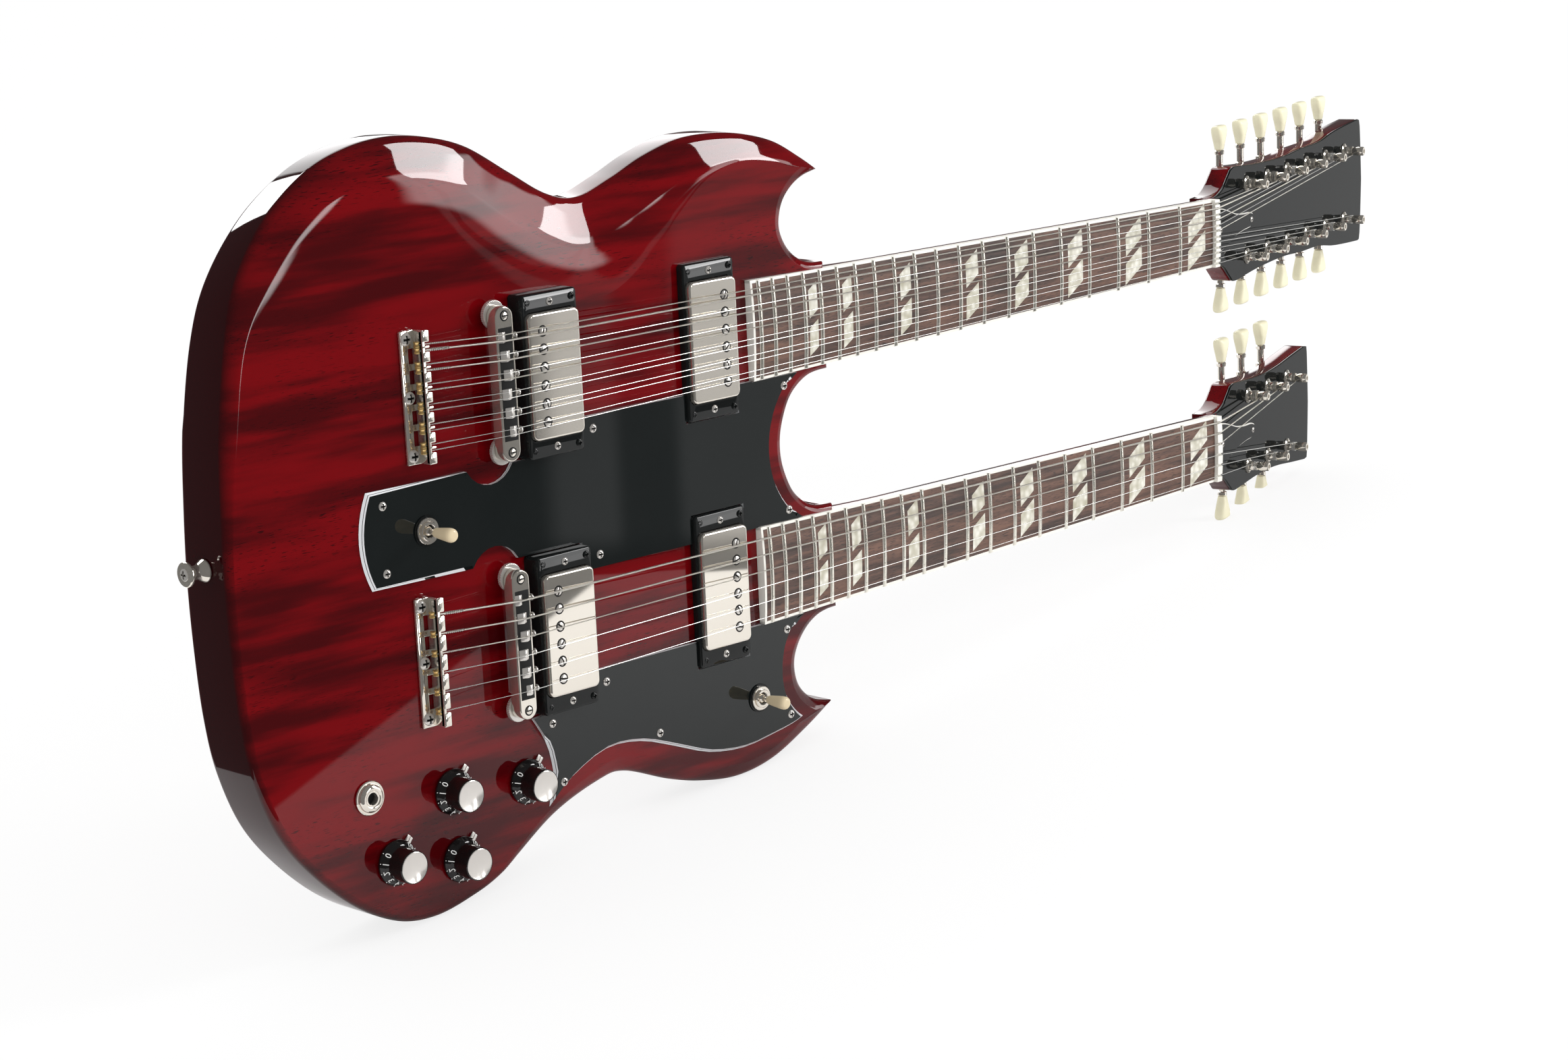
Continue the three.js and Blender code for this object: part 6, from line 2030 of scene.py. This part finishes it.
    def guard_flat(self, x: np.ndarray, z: np.ndarray) -> np.ndarray:
        """Where a guard's rim is cut square: round the pickup rings, at the bridge and beside the boards.

        Args:
            x: places on the face.
            z: places on the face.

        Returns:
            True where it is square.
        """
        from_line = np.abs(np.abs(z) - NECK_SPACING / 2)
        square = (x > self.square_from) & (x < self.square_to) & (from_line < self.square_reach)
        square |= (x > self.board_from) & (from_line < self.board_reach)
        for neck in Neck:
            for where in ("bridge", "neck"):
                pickup = Pickup(self.finishes, neck, where)
                across = np.abs(x - pickup.middle) < pickup.ring_width / 2 + 1.5
                square |= across & (np.abs(z - neck.line) < pickup.ring_length / 2 + 1.5)
        return square

    def guards(self) -> None:
        """The pickguards: copies of the CAD plates with a slanted edge that shows the plies."""
        for name in ("pickguard_middle", "pickguard_lower"):
            node = self.frame["nodes"][name]
            slanted_copy(node, f"{name}_plies", self.finishes.guard, 1.9, 2.5, self.guard_flat)
        screws = [screw_head(2.45, 1.1).moved(x, FACE_Y - GUARD_TOP, z) for x, z in self.guard_screws]
        make_piece("guard_screws", joined(screws), self.finishes.satin_nickel)
        cover, black = self.frame["nodes"]["rear_cover"], self.finishes.black
        slanted_copy(cover, "rear_cover_plate", black, 0.5, 0.4, lambda x, z: x < 0, proud=0.4)

    def build(self) -> None:
        """Makes all controls."""
        for name, share_x, share_z in self.knobs:
            self.knob(name, TAIL_EDGE + BODY_LENGTH * share_x, BODY_HEIGHT * share_z)
        self.switch("neck_selector", BRIDGE_LINE - 52.2, 0.0)
        self.switch("pickup_switch", TAIL_EDGE + BODY_LENGTH * 0.838, BODY_HEIGHT * -0.34)
        self.jack()
        tail = frame_of(((0, 1, 0), (-1, 0, 0), (0, 0, 1)), (TAIL_EDGE, 0, 0))
        self.strap_button("strap_button_tail", tail)
        place = (TAIL_EDGE + BODY_LENGTH * 0.955, BACK_Y, BODY_HEIGHT * 0.17)
        heel = frame_of(((1, 0, 0), (0, -1, 0), (0, 0, -1)), place)
        self.strap_button("strap_button_heel", heel)
        self.guards()


def slanted_copy(
    node: bpy.types.Object,
    name: str,
    look: Look,
    width: float,
    drop: float,
    flat: Callable[[np.ndarray, np.ndarray], np.ndarray],
    proud: float = 0.0,
) -> bpy.types.Object:
    """A merged copy of a flat CAD plate with a slanted rim.

    The outer face is drawn in by the width, and each point of its rim then falls by the drop,
    apart from the points that stay flat.

    Args:
        node: the CAD node.
        name: the new piece's name.
        look: its finish and slot.
        width: of the slanted rim, in millimetres.
        drop: how far the rim falls, in millimetres.
        flat: says for places in X and Z, in millimetres, where the rim stays flat.
        proud: how far the copy stands out past the node, in millimetres.

    Returns:
        The new object, which stands for the node.
    """
    levels = np.array(node.bound_box)[:, 1]
    outward = math.copysign(1.0, levels.mean())
    face_level = outward * np.max(levels * outward)
    work = bmesh.new()
    work.from_mesh(node.data)
    bmesh.ops.remove_doubles(work, verts=work.verts, dist=CAD_MERGE)
    bmesh.ops.dissolve_limit(work, angle_limit=math.radians(1), verts=work.verts, edges=work.edges)
    work.normal_update()
    region = [face for face in work.faces if face.normal.y * outward > 0.9]
    bmesh.ops.inset_region(work, faces=region, thickness=width * MM, use_even_offset=True, use_boundary=True)
    bmesh.ops.triangulate(work, faces=[face for face in work.faces if len(face.verts) > 4])
    mesh = bpy.data.meshes.new(name)
    work.to_mesh(mesh)
    work.free()
    points = rows_of(mesh.vertices, "co", 3)
    ends = rows_of(mesh.edges, "vertices", 2, int)
    above = np.abs(points[:, 1] - face_level) < CAD_MERGE
    rim = np.zeros(len(points), bool)
    rim[ends[above[ends] & ~above[ends[:, ::-1]]]] = True
    falls = rim & ~flat(points[:, 0] / MM, points[:, 2] / MM)
    points[:, 1] += outward * (proud - drop * falls) * MM
    mesh.vertices.foreach_set("co", points.ravel())
    mesh.update()
    return hand_over(mesh, look, replaces=(node.name,))


# Studio


class Room(Shader):
    """The world's own shader."""

    def __init__(self, tree: bpy.types.NodeTree) -> None:
        """Takes the world's nodes.

        Args:
            tree: the world's node tree.
        """
        self.tree = tree
        self._coordinates = self.node("ShaderNodeTexCoord", {}, {})
        self._path = self.node("ShaderNodeLightPath", {}, {})

    def direction(self) -> tuple[Number, Number]:
        """The ray's turn about Z and its rise over the horizon.

        Returns:
            Both, in degrees.
        """
        split = self.node("ShaderNodeSeparateXYZ", {}, {0: self._coordinates.outputs["Generated"]})
        x, y, z = (Number(self, output) for output in split.outputs)
        turn = y.function("ARCTAN2", x) * (180 / math.pi)
        return turn, z.function("ARCSINE") * (180 / math.pi)

    def window(self, turn: Number, rise: Number, across: tuple, up: tuple, soft: float) -> Number:
        """One inside a span of turns and rises, with soft rims, and otherwise zero.

        Args:
            turn: of the ray.
            rise: of the ray.
            across: the lowest and highest turn.
            up: the lowest and highest rise.
            soft: width of the rims, in degrees.

        Returns:
            The share.
        """
        spans = ((turn, across), (rise, up))
        sides = [(value.ramp(low, low + soft), value.ramp(high, high + soft)) for value, (low, high) in spans]
        (left, right), (low, high) = sides
        return (left - right) * (low - high)

    def choose(self, kind: str, value: object, other: object) -> Number:
        """A number for one kind of ray, and another for the rest."""
        share = Number(self, self._path.outputs[kind])
        return share * value + (1 - share) * other

    def finish(self, level: Number) -> None:
        """Sends a level to the world's background.

        Args:
            level: the brightness.
        """
        background = self.tree.nodes["Background"]
        self.feed(background.inputs["Color"], (1.0, 1.0, 1.0, 1.0))
        self.feed(background.inputs["Strength"], level)


@dataclass
class Studio:
    """Camera, floor, world and lamps. The camera was solved from the frets of both necks."""

    camera_place: Triple = (-1019.993, -1477.869, 388.093)
    right: Triple = (0.720066, -0.692302, -0.047145)
    down: Triple = (-0.222048, -0.165518, -0.960884)
    forward: Triple = (0.657419, 0.702369, -0.272908)
    focal_pixels: float = 5324.718
    centre_pixels: tuple[float, float] = (1062.907, 1141.487)
    image: tuple[float, float] = (2324.0, 1571.0)
    bout: tuple[float, float] = (134.0, -213.0)
    horn: tuple[float, float] = (365.0, -187.6)
    table_edge: tuple[float, float] = (-0.157, -0.446)
    table_side: tuple[float, float] = (-1.276, 1.45)
    table_left: tuple[float, float] = (-0.165, 0.446)
    shadow_lift: float = 0.8
    fill: float = 1.02
    floor_reach: float = 30000.0
    box_place: Triple = (2.05, -1.62, 0.98)  # the soft box, in metres
    box_aim: Triple = (0.25, 0.0, 0.1)
    box_size: tuple[float, float] = (0.66, 0.62)
    box_power: float = 21.0

    def camera(self) -> None:
        """Sets the camera: focal length in pixels becomes a lens for a 36 mm sensor."""
        data = bpy.data.cameras.new("camera")
        data.sensor_width = 36.0
        data.lens = 36.0 * self.focal_pixels / self.image[0]
        data.shift_x = (self.image[0] / 2 - self.centre_pixels[0]) / self.image[0]
        data.shift_y = (self.centre_pixels[1] - self.image[1] / 2) / self.image[0]
        data.clip_start, data.clip_end = 0.05, 60.0
        camera = in_scene("camera", data)
        axes = Matrix((self.right, [-v for v in self.down], [-v for v in self.forward])).transposed()
        camera.matrix_world = Matrix.Translation(Vector(self.camera_place) * MM) @ axes.to_4x4()
        bpy.context.scene.camera = camera

    def floor(self) -> None:
        """A wide white floor that touches the lower bout and the lower horn.

        Reflections see it only up to the table's front edge, a line across the floor; beyond that
        line they look past it into the room.
        """
        (x0, z0), (x1, z1) = self.bout, self.horn
        slope = (z1 - z0) / (x1 - x0)
        reach = self.floor_reach
        x = np.array([x0 - reach, x0 + reach, x0 + reach, x0 - reach])
        y = np.array([-reach, -reach, reach, reach])
        z = z0 - 1.2 + slope * (x - x0)
        mesh = bpy.data.meshes.new("floor")
        mesh.from_pydata((np.stack([x, y, z], -1) * MM).tolist(), [], [(0, 1, 2, 3)])
        shader = Shader("floor_white")
        cloth = shader.node("ShaderNodeBsdfDiffuse", {}, {"Color": (0.98, 0.98, 0.98, 1)})
        clear = shader.node("ShaderNodeBsdfTransparent", {}, {})
        path = shader.node("ShaderNodeLightPath", {}, {})
        start, tilt = self.table_edge
        side_start, side_tilt = self.table_side
        x, y = shader.axis("X"), shader.axis("Y")
        left_start, left_tilt = self.table_left
        line = (x * tilt + (start - y)).greatest(x * side_tilt + (side_start - y))
        line = line.greatest(y * left_tilt + left_start - x)
        beyond = line.ramp(0.0, 0.006) * Number(shader, path.outputs["Is Glossy Ray"])
        glow = shader.node("ShaderNodeEmission", {}, {"Color": (1, 1, 1, 1), "Strength": 1.0})
        lit = Number(shader, path.outputs["Is Camera Ray"]) * self.shadow_lift
        lifted = shader.node("ShaderNodeMixShader", {}, {0: lit, 1: cloth.outputs[0], 2: glow.outputs[0]})
        mixed = shader.node("ShaderNodeMixShader", {}, {0: beyond, 1: lifted.outputs[0], 2: clear.outputs[0]})
        output = next(n for n in shader.tree.nodes if n.type == "OUTPUT_MATERIAL")
        shader.feed(output.inputs[0], mixed.outputs[0])
        mesh.materials.append(shader.material)
        in_scene("floor", mesh)

    def world(self) -> None:
        """White to the camera, even to surfaces; reflections see a dark room with a few bright parts.

        The room is painted by the direction's turn about Z and its rise over the horizon: a pale
        panel in front to the right, a bright sheet behind and a glow under the soft box.
        """
        world = bpy.data.worlds.new("studio")
        bpy.context.scene.world = world
        world.use_nodes = True
        room = Room(world.node_tree)
        turn, rise = room.direction()
        back = room.window(turn, rise, (38.0, 73.0), (6.0, 60.0), 2.0)
        pane = room.window(turn, rise, (76.0, 98.0), (30.0, 52.0), 0.6)
        panel = room.window(turn, rise, (-49.6, 30.0), (-12.4, 8.0), 0.5)
        side = room.window(turn, rise, (-38.0, 30.0), (-30.0, 8.0), 4.0)
        stripe = room.window(turn, rise, (-48.4, -47.4), (-30.0, 12.0), 0.3)
        glow = room.window(turn, rise, (-51.5, -30.0), (-3.0, 15.0), 1.5)
        strip = room.window(turn, rise, (-63.5, -60.0), (-9.5, 12.0), 2.0)
        level = back * 3.2 + pane * 15.0 + panel * 0.38 * (1 - stripe * 0.85)
        level = level + side * 0.5 + glow * 4.4 + strip * 9.0 + 0.12
        seen = room.choose("Is Glossy Ray", level, self.fill)
        room.finish(room.choose("Is Camera Ray", 1.0, seen))

    def soft_box(self) -> None:
        """A rectangle of light that looks at a point."""
        data = bpy.data.lights.new("soft_box", "AREA")
        data.shape = "RECTANGLE"
        data.size, data.size_y = self.box_size
        data.energy = self.box_power
        lamp = in_scene("soft_box", data)
        lamp.location = self.box_place
        lamp.rotation_mode = "QUATERNION"
        lamp.rotation_quaternion = (Vector(self.box_aim) - Vector(self.box_place)).to_track_quat("-Z", "Y")

    def build(self) -> None:
        """Makes the studio."""
        bpy.context.scene.view_settings.view_transform = "Standard"
        self.camera()
        self.floor()
        self.world()
        self.soft_box()


def main() -> None:
    """Loads the frame, builds the guitar piece by piece, and sets the studio."""
    logging.basicConfig(level=logging.INFO, format="%(message)s")
    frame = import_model()
    finishes = Finishes()
    SolidBody(finishes).build()
    for neck in Neck:
        wood = NeckWood(finishes, neck)
        wood.build()
        Fingerboard(finishes, wood).build()
        strings = StringSet(finishes, neck)
        strings.build()
        Tuners(finishes, neck).build()
        BridgeAndTail(finishes, strings).bridge()
        BridgeAndTail(finishes, strings).tailpiece()
        dress(frame["nodes"][f"nut_{neck.word}"], finishes.bone)
        for where in ("bridge", "neck"):
            Pickup(finishes, neck, where).build()
    Controls(finishes, frame).build()
    Studio().build()


if __name__ == "__main__":
    main()
